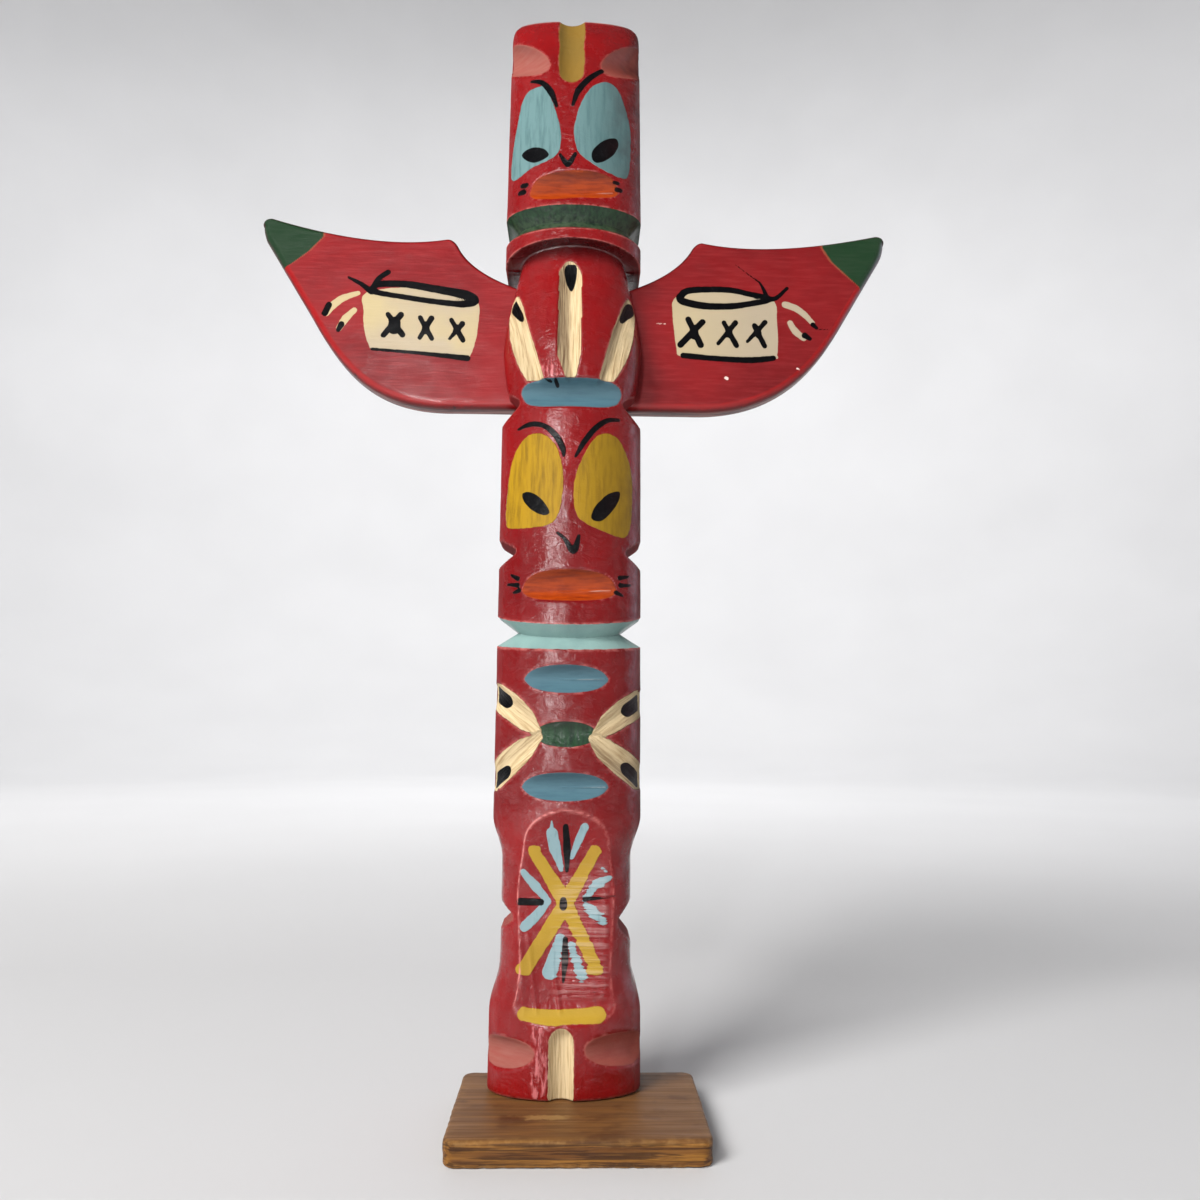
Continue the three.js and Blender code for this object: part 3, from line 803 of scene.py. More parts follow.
wing = {
    "frontY": 13.5,
    "backY": 20.0,
    "bottom": 187.6,
    "notchTop": 224.0,
    "notchHalf": 15.5,
    "edgeRadius": 1.0,
    "lowRadius": 2.3,
    "left": {"shoulder": (36.2, 239.4), "reach": 92.38, "height": 245.5, "belly": 76.0},
    "right": {"shoulder": (37.1, 239.7), "reach": 93.48, "height": 243.4, "belly": 79.0},
    "columnStep": 0.46,
    "frontRows": 92,
}


def wingOutline(tip):
    # The lower edge out to the tip's furthest point, and the upper edge back from it.
    reach, height, belly, bottom = tip["reach"], tip["height"], tip["belly"], wing["bottom"]
    sx, sz = tip["shoulder"]
    lower = [
        curve([(0, bottom), (34, bottom)], 4),
        curve([(34, bottom), (56, bottom - 0.6), (belly - 10, 197), (belly, 214.6)]),
    ]
    tipCurve = curve(
        [(reach - 2, height - 7.5), (reach + 0.8, height - 0.6), (reach - 3.5, height - 0.6)], 80
    )
    upper = [
        curve([(reach - 3.5, height - 0.6), (58, 235.6), (sx + 1, sz)]),
        curve([(sx + 1, sz), (sx - 0.6, sz), (sx - 2, sz - 2)], 12),
        curve([(sx - 2, sz - 2), (30.5, 229.2), (wing["notchHalf"], wing["notchTop"])], 30),
        np.array([[0, wing["notchTop"]]]),
    ]
    far = tipCurve[:, 0].argmax()
    return np.concatenate(lower + [tipCurve[: far + 1]]), np.concatenate([tipCurve[far:]] + upper)


rightLower, rightUpper = wingOutline(wing["right"])
leftLower, leftUpper = wingOutline(wing["left"])
turned = np.array([-1.0, 1.0])
lowerEdge = np.concatenate([(leftLower * turned)[::-1], rightLower])
upperEdge = np.concatenate([leftUpper * turned, rightUpper[::-1]])
leftEnd, rightEnd = lowerEdge[0, 0], lowerEdge[-1, 0]
# Columns: close together at the tips, and 2 mm apart behind the pole.
tipSteps = np.array([0.0, 0.02, 0.07, 0.15, 0.27, 0.42, 0.6, 0.85])
wingX = np.concatenate([
    leftEnd + tipSteps,
    np.arange(leftEnd + 1.15, -18.0, wing["columnStep"]),
    np.arange(-17.0, 17.5, 2.0),
    np.arange(18.0, rightEnd - 1.1, wing["columnStep"]),
    (rightEnd - tipSteps)[::-1],
])
lowZ = np.interp(wingX, lowerEdge[:, 0], lowerEdge[:, 1])
order = np.argsort(upperEdge[:, 0], kind="stable")
highZ = np.interp(wingX, upperEdge[order, 0], upperEdge[order, 1])
span = highZ - lowZ
# Rows: close together by both edges, even between them; where the board is narrow they all shrink.
edgeSteps = np.array([0, 0.1, 0.28, 0.52, 0.82, 1.2, 1.65, 2.2, 2.9])
insetRows = np.minimum(edgeSteps[None], (span[:, None] * 0.4) * edgeSteps[None] / edgeSteps[-1])
innerShare = np.linspace(0, 1, wing["frontRows"] - 2 * len(edgeSteps) + 2)[1:-1]
lowInner = lowZ + insetRows[:, -1]
highInner = highZ - insetRows[:, -1]
innerZ = lowInner[:, None] + (highInner - lowInner)[:, None] * innerShare
frontZ = np.concatenate([lowZ[:, None] + insetRows, innerZ, highZ[:, None] - insetRows[:, ::-1]], 1)
# The back keeps the rows by both edges and every thirteenth one between them.
backPick = np.r_[0:9, 20:72:13, frontZ.shape[1] - 9 : frontZ.shape[1]]
backZ = frontZ[:, backPick][:, ::-1]


def rimDrop(distance, radius):
    # A quarter-round rim: radius - sqrt(radius^2 - (radius - distance)^2), nothing past the radius.
    short = np.clip(radius - distance, 0, radius)
    return radius - np.sqrt(radius**2 - short**2)


wingColumns = len(wingX)
frontX = np.repeat(wingX[:, None], frontZ.shape[1], 1)
backX = np.repeat(wingX[:, None], backZ.shape[1], 1)
frontLow = edgeDistance(frontX, frontZ, lowerEdge)
frontHigh = edgeDistance(frontX, frontZ, upperEdge)
backEdge = np.minimum(edgeDistance(backX, backZ, lowerEdge), edgeDistance(backX, backZ, upperEdge))
frontLow[:, 0] = frontHigh[:, -1] = backEdge[:, 0] = backEdge[:, -1] = 0
frontEdge = np.minimum(frontLow, frontHigh)
sawn = 0.05 * (1 + ripple(frontX * 0.3, frontZ * 0.5, 5)) * easeBetween(frontEdge, 0.2, 2)
lowRadius = wing["lowRadius"] * (1 + 0.12 * ripple(frontX * 0.4, frontZ * 0.2, 8))
drop = np.maximum(rimDrop(frontHigh, wing["edgeRadius"]), rimDrop(frontLow, lowRadius))
frontFace = np.stack([frontX, wing["frontY"] + drop + sawn, frontZ], -1)
backFace = np.stack([backX, wing["backY"] - rimDrop(backEdge, wing["edgeRadius"]), backZ], -1)
wallShares = np.array([0.25, 0.5, 0.75])[None, :, None]
topWall = frontFace[:, -1:] + (backFace[:, :1] - frontFace[:, -1:]) * wallShares
bottomWall = backFace[:, -1:] + (frontFace[:, :1] - backFace[:, -1:]) * wallShares
loops = np.concatenate([frontFace, topWall, backFace, bottomWall], 1)
perLoop = loops.shape[1]
wingPoints = loops.reshape(-1, 3)
wingQuads = ringQuads(wingColumns, perLoop)
endPoints = np.stack([loops[0].mean(0), loops[-1].mean(0)])
j = np.arange(perLoop)
after = (j + 1) % perLoop
lastLoop = (wingColumns - 1) * perLoop
leftFan = np.stack([j, np.full(perLoop, len(wingPoints)), after], -1)
rightFan = np.stack([lastLoop + j, lastLoop + after, np.full(perLoop, len(wingPoints) + 1)], -1)
wingFan = np.concatenate([leftFan, rightFan])
print("wing board shaped,", wingColumns, "columns by", perLoop)

wingPaint = {name: np.full(frontX.shape, farOut) for name in ("cream", "black", "green", "tan", "chip")}


def onWing(colour, field):
    wingPaint[colour] = np.maximum(wingPaint[colour], field)


def wingStroke(colour, line, widths):
    onWing(colour, strokeField(frontX, frontZ, line, widths))


# Each pot is a cream body and mouth with a black rim, three crosses, a base line, and a tie with two
# feathers.
leftPot = {
    "body": [
        (-60.2, 222), (-60.8, 216.2), (-60.4, 210.6), (-58.6, 205.3), (-57, 204.6), (-44.6, 203.4),
        (-31, 201.9), (-29.8, 202.6), (-28.2, 207.6), (-27.5, 213), (-27.5, 219), (-31, 222), (-45, 224),
    ],
    "rim": [
        (-58.6, 223.2), (-56.8, 224.6), (-49.2, 224.8), (-40, 223.4), (-31.4, 221.8), (-28.6, 220),
        (-32, 218.9), (-38, 219.3), (-45.3, 220.2), (-52.6, 221.3), (-57.6, 222.2), (-58.6, 223.2),
    ],
    "rimWidths": [1.5, 1.7, 1.9, 2.1, 2.6, 2.2, 1.8, 1.5, 1.4, 1.3, 1.5, 1.5],
    "crosses": [
        ([(-53.7, 215.4), (-49.3, 209.2)], [1.3, 1.5]), ([(-50, 215.3), (-54.8, 209)], [1.7, 1.4]),
        ([(-51.7, 213), (-51.8, 211.2)], [3.2, 3.6]), ([(-44.4, 214.6), (-40.8, 208.2)], [1.2, 1.2]),
        ([(-41.1, 214.4), (-44.3, 208.4)], [1.5, 1.1]), ([(-42.6, 212.2), (-42.7, 210.6)], [2, 2]),
        ([(-35.3, 214), (-31.8, 207.9)], [1.1, 1.4]), ([(-32.1, 212.9), (-35.7, 208.2)], [1.5, 0.7]),
        ([(-33.6, 211.6), (-33.8, 210.6)], [1.8, 1.8]),
    ],
    "base": ([(-58, 204.7), (-44, 203.7), (-30.4, 202.4)], [0.9, 1.1, 1.9]),
    "ties": [
        ([(-65.6, 226.6), (-61.8, 224.6), (-58.8, 222.3)], [0.8, 1.4, 1.9]),
        ([(-54.2, 228.4), (-56.8, 226.5), (-58.4, 223.8)], [1.7, 1.5, 1.5]),
    ],
    "feathers": [
        ([(-62.6, 221.8), (-66.8, 220.2), (-69.6, 218), (-71.6, 215.4)], [1.4, 2.1, 2.2, 1.8]),
        ([(-63.4, 216.6), (-65.9, 213.9), (-67.7, 210.8)], [1.5, 2.3, 1.7]),
    ],
    "tips": [([(-70.9, 218), (-72, 215.4)], [1.9, 1.9]), ([(-67, 212.1), (-67.9, 210.3)], [1.9, 1.3])],
}
rightPot = {
    "body": [
        (29.4, 221.4), (29.1, 217.8), (29.5, 212.3), (30.2, 206.8), (31.6, 203.9), (42.3, 203.5),
        (58.6, 203.6), (59.6, 205), (60, 209.3), (59.8, 215.4), (59.3, 221.2), (54, 223), (42, 224.6),
        (33, 223.6),
    ],
    "rim": [
        (31.2, 222.2), (33.4, 224.2), (38.9, 224.8), (46.3, 224.7), (52.6, 223.4), (57.8, 222.1),
        (52.1, 220.6), (46.3, 219.7), (39.2, 219.6), (34.4, 220.4), (31.8, 221.2), (31.2, 222.2),
    ],
    "rimWidths": [1.8, 1.7, 1.6, 1.5, 1.4, 1.5, 1.5, 1.7, 1.9, 2, 2, 1.8],
    "crosses": [
        ([(33.7, 215.5), (37.3, 207.6)], [1.5, 1.7]), ([(37.9, 214.7), (31.4, 207.6)], [1.6, 1.7]),
        ([(35.4, 212), (35.4, 210.6)], [2.3, 2.4]), ([(44.2, 214.6), (47.8, 207.6)], [1.2, 1.4]),
        ([(47.6, 214.6), (42.4, 208.1)], [1.4, 0.9]), ([(45.6, 211.8), (45.6, 211)], [1.9, 1.9]),
        ([(53.2, 213.8), (56, 207.6)], [1.4, 1.3]), ([(56.3, 214.9), (51, 208.9)], [1.3, 0.8]),
        ([(54.2, 211.8), (54.3, 211)], [1.8, 1.8]),
    ],
    "base": ([(32.2, 204.3), (42, 203.5), (52, 203.2), (58.5, 203.9)], [1.8, 1.7, 1.9, 1.7]),
    "ties": [
        ([(63, 225.6), (59.6, 222.4), (57, 222.2)], [1, 1.4, 1.7]),
        ([(57, 222.6), (56, 225.2), (54.9, 227.3)], [1.3, 1, 0.6]),
    ],
    "feathers": [
        ([(62.3, 220.5), (65.4, 219.4), (68, 217.4), (70.3, 214.9)], [2, 2, 1.8, 1.4]),
        ([(63.6, 214.9), (65.1, 212.3), (67.6, 210.2)], [1.6, 2, 1.8]),
    ],
    "tips": [([(70.4, 214.4), (71.4, 213.4)], [1.5, 1.1]), ([(67.9, 211), (69.4, 210)], [1.9, 1.2])],
}
for pot in (leftPot, rightPot):
    onWing("cream", areaField(frontX, frontZ, pot["body"], 4))
    for line, widths in pot["feathers"]:
        wingStroke("cream", line, widths)
    wingStroke("black", pot["rim"], np.array(pot["rimWidths"]) + 0.3)
    for line, widths in pot["crosses"]:
        wingStroke("black", line, np.array(widths) + 0.25)
    for line, widths in pot["ties"] + pot["tips"] + [pot["base"]]:
        wingStroke("black", line, widths)
wingStroke("black", [(54.9, 227.3), (51, 230.2), (47.5, 233)], [0.45, 0.35, 0.25])
wingStroke("black", [(72, 213), (76.2, 213)], [0.35, 0.3])

# Past a slanting line each tip is green, with a thin tan edge to it.
for side, line in (
    (-1, [(-73.4, 239.2), (-77.5, 234.6), (-82.8, 230.2), (-86, 228.8)]),
    (1, [(73.7, 238.6), (76.3, 234.2), (81.2, 229.5), (86, 225)]),
):
    line = np.array(line)
    boundary = np.interp(frontZ, line[::-1, 1], line[::-1, 0] * side)
    past = (frontX * side - boundary) * 0.75
    onWing("green", np.where(frontZ > 222, past, farOut))
    onWing("tan", np.where(frontZ > 222, 0.28 - np.abs(past + 0.1), farOut))
wingStroke("chip", [(44.5, 197.7), (44.9, 197.5)], 0.9)
wingStroke("chip", [(24.5, 214), (27.2, 213.9)], 0.25)
wingStroke("chip", [(65.4, 200.9), (66, 200.5)], 0.6)


def wingField(parts, atEnds):
    # One number for every point: the parts of each loop side by side, then the two end points.
    return np.append(np.concatenate(parts, 1).ravel(), [atEnds, atEnds])


bare = np.full((wingColumns, perLoop - frontZ.shape[1]), -2.0)
wall = np.zeros((wingColumns, 3))
wingFields = {name: wingField([np.clip(field, -2, 2), bare], -2.0) for name, field in wingPaint.items()}
for name, front, back in (
    ("rim", frontEdge, backEdge), ("lowRim", frontLow, backEdge), ("highRim", frontHigh, backEdge)
):
    wingFields[name] = wingField([np.clip(front, 0, 6), wall, np.clip(back, 0, 6), wall], 0.0)
wingPoints = np.concatenate([wingPoints, endPoints])
wingPoints[:, 0] += pole["axisX"]
print("pictures painted on the wings")

plaque = {"width": 61.0, "depth": 41.0, "thickness": 6.0, "corner": 3.0, "edge": 0.9, "columns": 420}


def plaqueOutline():
    # A rounded rectangle and its outward direction, evenly spaced along its length.
    w, d, r = plaque["width"] / 2 - plaque["corner"], plaque["depth"] / 2 - plaque["corner"], plaque["corner"]
    turn = np.linspace(0, np.pi / 2, 9)
    parts = [(w, d, 0), (-w, d, 1), (-w, -d, 2), (w, -d, 3)]
    corners = []
    for cx, cy, k in parts:
        angle = turn + k * np.pi / 2
        corners.append(np.stack([cx + r * np.cos(angle), cy + r * np.sin(angle)], 1))
    outline = np.concatenate(corners + [corners[0][:1]])
    travelled = np.concatenate([[0], np.cumsum(np.hypot(*np.diff(outline, axis=0).T))])
    places = np.linspace(0, travelled[-1], plaque["columns"], endpoint=False)
    points = np.stack([np.interp(places, travelled, outline[:, k]) for k in (0, 1)], 1)
    centre = np.clip(points, [-w, -d], [w, d])
    outward = points - centre
    return points, outward / np.linalg.norm(outward, axis=1, keepdims=True)


outline, outward = plaqueOutline()
turns = np.linspace(0, np.pi / 2, 5)
edge = plaque["edge"]
thickness = plaque["thickness"]
heights = np.concatenate([
    edge * (1 - np.cos(turns)), np.linspace(1.3, 4.7, 10), thickness - edge + edge * np.sin(turns)
])
insets = np.concatenate([edge * (1 - np.sin(turns)), np.zeros(10), edge * (1 - np.cos(turns))])
# The sides are sawn unevenly, most of all along the lower edge.
roundIt = np.arange(plaque["columns"]) * 204 / plaque["columns"]
roundIt, rise = np.broadcast_arrays(roundIt[None], heights[:, None])
rough = 0.01 + 0.12 * (1 + ripple(roundIt * 0.8, rise * 1.1, 3))
rough = rough + 0.25 * np.maximum(0, ripple(roundIt * 1.7, 3, 4)) * (rise < 1)
plaqueGrid = np.empty((len(heights), plaque["columns"], 3))
plaqueGrid[..., :2] = outline[None] - outward[None] * (insets[:, None] + rough)[..., None]
plaqueGrid[..., 2] = rise
plaqueEnds = ((0, 0, thickness), (0, 0, 0))
plaquePoints, plaqueQuads, plaqueFan, plaqueCaps = closedStack(plaqueGrid, *plaqueEnds, 12, 3)
wornEdges = np.exp(-(((heights - 5.4) / 0.6) ** 2)) + np.exp(-(((heights - 0.4) / 0.6) ** 2))
plaqueFields = {"worn": np.append(np.repeat(wornEdges, plaque["columns"]), np.zeros(plaqueCaps))}
print("base shaped")


class Surface:
    # A node material and short names for its nodes. Its places are in metres, and the mesh's painted fields
    # in millimetres.
    def __init__(self, name):
        self.material = bpy.data.materials.new(name)
        self.material.use_nodes = True
        self.tree = self.material.node_tree
        self.shader = self.tree.nodes["Principled BSDF"]
        self.place = self.node("TexCoord", {}, "Object")
        self.x, self.y, self.z = (self.node("SeparateXYZ", {0: self.place}, axis) for axis in "XYZ")

    def put(self, socket, value):
        # A value is a number, a colour, another node's output, or the name of one of the mesh's fields.
        if isinstance(value, str):
            value = self.node("Attribute", {}, "Fac", attribute_name=value)
        if isinstance(value, bpy.types.NodeSocket):
            self.tree.links.new(value, socket)
        else:
            socket.default_value = value

    def node(self, kind, inputs, output=0, **settings):
        made = self.tree.nodes.new("ShaderNode" + kind)
        for name, value in settings.items():
            setattr(made, name, value)
        for socket, value in inputs.items():
            self.put(made.inputs[socket], value)
        return made.outputs[output]

    def shade(self, name, value):
        self.put(self.shader.inputs[name], value)

    def sums(self, operation, a, b=0.0, c=0.0, clamp=False):
        return self.node("Math", {0: a, 1: b, 2: c}, operation=operation, use_clamp=clamp)

    def times(self, first, *others, clamp=False):
        for other in others:
            first = self.sums("MULTIPLY", first, other, clamp=clamp)
        return first

    def most(self, first, *others):
        for other in others:
            first = self.sums("MAXIMUM", first, other)
        return first

    def stretched(self, scale):
        return self.node("Mapping", {"Vector": self.place, "Scale": scale})

    def noise(self, vector, scale, detail=3.0, roughness=0.55, distortion=0.0):
        inputs = {"Vector": vector, "Scale": scale, "Detail": detail, "Roughness": roughness}
        return self.node("TexNoise", {**inputs, "Distortion": distortion}, "Fac")

    def between(self, value, low, high, toLow=0.0, toHigh=1.0):
        inputs = {"Value": value, "From Min": low, "From Max": high, "To Min": toLow, "To Max": toHigh}
        return self.node("MapRange", inputs)

    def blend(self, share, first, second, mode="MIX"):
        return self.node("Mix", {0: share, 6: first, 7: second}, 2, data_type="RGBA", blend_type=mode)

    def blendValue(self, share, first, second):
        return self.node("Mix", {0: share, 2: first, 3: second})

    def over(self, share, colour, mode="MIX"):
        # Lays a colour over what is painted so far.
        self.colour = self.blend(share, self.colour, colour, mode)

    def bump(self, height, distance, strength=1.0, before=None):
        inputs = {"Height": height, "Distance": distance, "Strength": strength}
        return self.node("Bump", inputs if before is None else {**inputs, "Normal": before})

    def coat(self, name, wobble, soft):
        # A paint's cover: its distance field, with a hand-brushed wobble, is sharpened to nought or one.
        return self.between(self.sums("ADD", name, wobble), -soft, soft)


def rgb(red, green, blue):
    # Linear colour from the 0-255 values a paint chart gives.
    shares = [v / 255 for v in (red, green, blue)]
    return (*(((v + 0.055) / 1.055) ** 2.4 if v > 10 / 255 else v / 12.92 for v in shares), 1.0)


# Each enamel's usual colour, and the one that streaks it.
enamel = {
    "red": (rgb(136, 14, 17), rgb(98, 7, 11)),
    "cream": (rgb(212, 190, 150), rgb(158, 128, 86)),
    "salmon": (rgb(148, 90, 80), rgb(136, 46, 44)),
    "scuff": (rgb(148, 90, 80), rgb(136, 46, 44)),
    "gold": (rgb(172, 138, 44), rgb(142, 106, 36)),
    "blue": (rgb(74, 107, 119), rgb(52, 82, 98)),
    "green": (rgb(30, 62, 36), rgb(18, 38, 26)),
    "aqua": (rgb(132, 162, 158), rgb(72, 102, 104)),
    "orange": (rgb(162, 60, 8), rgb(122, 38, 8)),
    "teal": (rgb(100, 131, 132), rgb(72, 102, 104)),
    "mustard": (rgb(164, 127, 22), rgb(116, 86, 16)),
    "slate": (rgb(134, 160, 166), rgb(72, 102, 104)),
    "black": (rgb(5, 5, 7), rgb(22, 22, 25)),
}


def polePaint():
    s = Surface("paintedPole")
    broad = s.noise(s.place, 55, 3)
    streaks = s.noise(s.stretched((1, 1, 0.12)), 900, 4, 0.6)
    fine = s.noise(s.place, 1400, 2)
    wobble = s.sums("MULTIPLY_ADD", s.noise(s.place, 620, 2), 0.5, -0.25)
    tight = s.times(wobble, 0.4)
    s.colour = s.blend(s.between(broad, 0.35, 0.68, 0.1, 0.55), *enamel["red"])
    s.over(s.between(streaks, 0.5, 0.75, 0, 0.25), enamel["red"][1])
    belly = s.times(s.between(s.z, 0.070, 0.078), s.between(s.z, 0.166, 0.156), clamp=True)
    s.over(s.times(belly, 0.28), rgb(66, 10, 13))
    # Painted shade under the collar.
    s.over(s.times("underCollarShade", 0.75), rgb(40, 8, 10))
    # Knocks along the arrises show the undercoat.
    worn = s.times("wear", s.between(s.noise(s.place, 420, 4, 0.7), 0.4, 0.58), clamp=True)
    s.over(s.times(worn, 0.75), rgb(196, 110, 104))
    # Painted highlight: broken pale pink patches, also given a small bump.
    highlightPatchShare = s.times(
        s.coat("highlightPatch", s.times(wobble, 3.0), 0.3),
        s.between(s.noise(s.stretched((1, 1, 0.25)), 700, 4, 0.7), 0.46, 0.56), clamp=True,
    )
    s.over(s.times(highlightPatchShare, 0.75), rgb(206, 118, 120))
    streakShare = s.between(streaks, 0.42, 0.64)
    grainLong = s.noise(s.stretched((0.12, 0.12, 1)), 1300, 3, 0.6)
    covers = {}
    # Painted shade: the salmon, teal and mustard are laid darker on the pole's right side.
    rightShadeShare = s.between(s.x, -0.006, 0.006)

    def lay(name, share, edge=tight, soft=0.06, pale=None):
        usual, streaked = enamel[name]
        covers[name] = s.coat(name, edge, soft)
        s.over(covers[name], s.blend(share, usual if pale is None else pale, streaked))

    lay("aqua", s.between(broad, 0.45, 0.8, 0, 0.7), wobble)
    # Painted light: the lower half of the neck groove's green is paler.
    neckLitHalf = s.times(s.between(s.z, 0.2405, 0.2375, 0, 0.4), s.between(s.z, 0.2, 0.21))
    lay("green", streakShare, pale=s.blend(neckLitHalf, enamel["green"][0], rgb(92, 100, 80)))
    lay("blue", s.between(grainLong, 0.45, 0.75, 0, 0.45))
    salmonPale = s.blend(rightShadeShare, enamel["salmon"][0], rgb(150, 78, 66))
    lay("salmon", s.between(grainLong, 0.35, 0.75, 0, 0.5), pale=salmonPale)
    lay("scuff", s.between(fine, 0.4, 0.6), wobble)
    lay("orange", s.between(grainLong, 0.4, 0.7))
    lay(
        "teal", s.between(streaks, 0.45, 0.72, 0, 0.8), wobble,
        pale=s.blend(rightShadeShare, enamel["teal"][0], rgb(88, 117, 118)),
    )
    lay(
        "mustard", s.between(streaks, 0.45, 0.72, 0, 0.85), wobble,
        pale=s.blend(rightShadeShare, enamel["mustard"][0], rgb(140, 109, 20)),
    )
    marks = s.node("CombineXYZ", {0: s.times("markAcross", 1.9), 1: s.times("markAlong", 0.09)})
    knifeMarks = s.noise(marks, 1.0, 4, 0.62, 0.3)
    lay("cream", s.between(knifeMarks, 0.46, 0.7, 0, 0.95), s.times(wobble, 0.8), 0.09)
    # The knife's ridges fray the rays that cross them.
    knife = s.noise(s.stretched((0.06, 0.3, 1)), 1000, 3, 0.6, 0.25)
    ridges = s.times(s.sums("MULTIPLY_ADD", knife, 1.0, -0.5), "chatter")
    frayed = s.sums("MULTIPLY_ADD", ridges, 3.4, wobble)
    lay("slate", s.between(streaks, 0.55, 0.75, 0, 0.5), frayed)
    crest = s.between(s.z, 0.27, 0.275)
    goldTone = s.blend(crest, enamel["gold"][0], rgb(122, 96, 42))
    lay(
        "gold", s.between(broad, 0.45, 0.75, 0, 0.5), s.sums("MULTIPLY_ADD", ridges, 1.8, wobble),
        pale=goldTone,
    )
    lay("black", s.between(fine, 0.55, 0.7, 0, 0.6), tight)
    # Painted shade darkens the upper flank of a creased cut, and a painted highlight lies along its crease
    # and the panel's edge.
    shaded = s.times(
        s.most(covers["orange"], covers["green"], covers["blue"]), s.between("flank", 0.1, 1, 0, 0.4)
    )
    s.over(shaded, rgb(30, 16, 16))
    # Painted shade on one flank of each feather, broken by the knife's marks.
    featherFlankShade = s.times(
        s.sums("SUBTRACT", covers["cream"], covers["black"], clamp=True), "flank",
        s.between(knifeMarks, 0.3, 0.6, 0.35, 0.9),
    )
    s.over(featherFlankShade, rgb(92, 66, 48))
    # Painted shade lies along the right side, most of all on the top head.
    paintedRightShade = s.times(s.between(s.x, 0.003, 0.0155), s.between(s.z, 0.22, 0.29, 0.4, 0.8))
    paintedRightShade = s.times(paintedRightShade, s.between(s.noise(s.place, 170, 4, 0.65), 0.35, 0.65, 0.25, 1))
    s.over(paintedRightShade, rgb(56, 25, 25))
    # Painted highlight along each crease.
    creaseGlint = s.times(
        s.between("crease", 0.12, 0.34), s.between(s.noise(s.place, 300, 2), 0.4, 0.55, 0.05, 0.34)
    )
    s.over(creaseGlint, rgb(216, 206, 196))
    # Painted highlight along the panel's edge.
    panelEdgeHighlight = s.times(
        s.between("panelLine", 0.0, 0.1), s.between(s.noise(s.place, 340, 3), 0.36, 0.5, 0.25, 0.85)
    )
    s.over(panelEdgeHighlight, rgb(214, 132, 128))
    # Painted sheen: pale lines screened over the panel's chatter marks.
    chatterSheen = s.times("chatter", s.between(knife, 0.5, 0.6, 0, 0.8))
    s.over(chatterSheen, rgb(108, 96, 94), "SCREEN")
    s.shade("Base Color", s.colour)
    anyCover = s.most(*covers.values())
    # The black and the grooves stay glossy, the other colours are nearly matt.
    glossyCover = s.most(s.times(covers["black"], 0.3), s.times(s.most(covers["aqua"], covers["green"]), 0.4))
    matteCover = s.sums("SUBTRACT", anyCover, glossyCover, clamp=True)
    rough = s.between(s.noise(s.place, 260, 4, 0.6), 0.3, 0.7, 0.16, 0.34)
    rough = s.blendValue(matteCover, rough, 0.5)
    rough = s.blendValue(s.between("crease", -0.1, 0.3, 0, 0.8), rough, 0.22)
    rough = s.blendValue("notch", rough, 0.75)
    rough = s.sums("MULTIPLY_ADD", worn, 0.3, rough, clamp=True)
    s.shade("Roughness", rough)
    # The varnish is glossy only in patches.
    glossPatch = s.between(s.noise(s.stretched((1, 1, 0.7)), 330, 4, 0.6), 0.42, 0.62, 0.3, 0.9)
    s.shade("Coat Weight", s.times(glossPatch, s.between(s.most(matteCover, "notch"), 0, 1, 1.0, 0.0)))
    s.shade("Specular IOR Level", s.between(s.most(covers["black"], "notch"), 0, 1, 0.26, 0.1))
    s.shade("Coat Roughness", 0.05)
    wrinkles = s.noise(s.stretched((0.7, 1, 1.2)), 380, 4, 0.62, 0.9)
    normal = None
    for height, distance, strength in (
        (wrinkles, 0.0002, 0.55),
        (streaks, 0.00007, 0.6),
        (anyCover, 0.00009, 0.8),
        (s.times(knife, "chatter"), 0.0006, 0.9),
        (highlightPatchShare, 0.0002, 0.8),
        (s.times(knifeMarks, covers["cream"]), 0.0004, 0.9),
        (s.between("crease", -0.1, 0.4), 0.00025, 0.9),
    ):
        normal = s.bump(height, distance, strength, normal)
    s.shade("Normal", normal)
    s.shade("Coat Normal", s.bump(wrinkles, 0.0003, 0.75, normal))
    return s.material


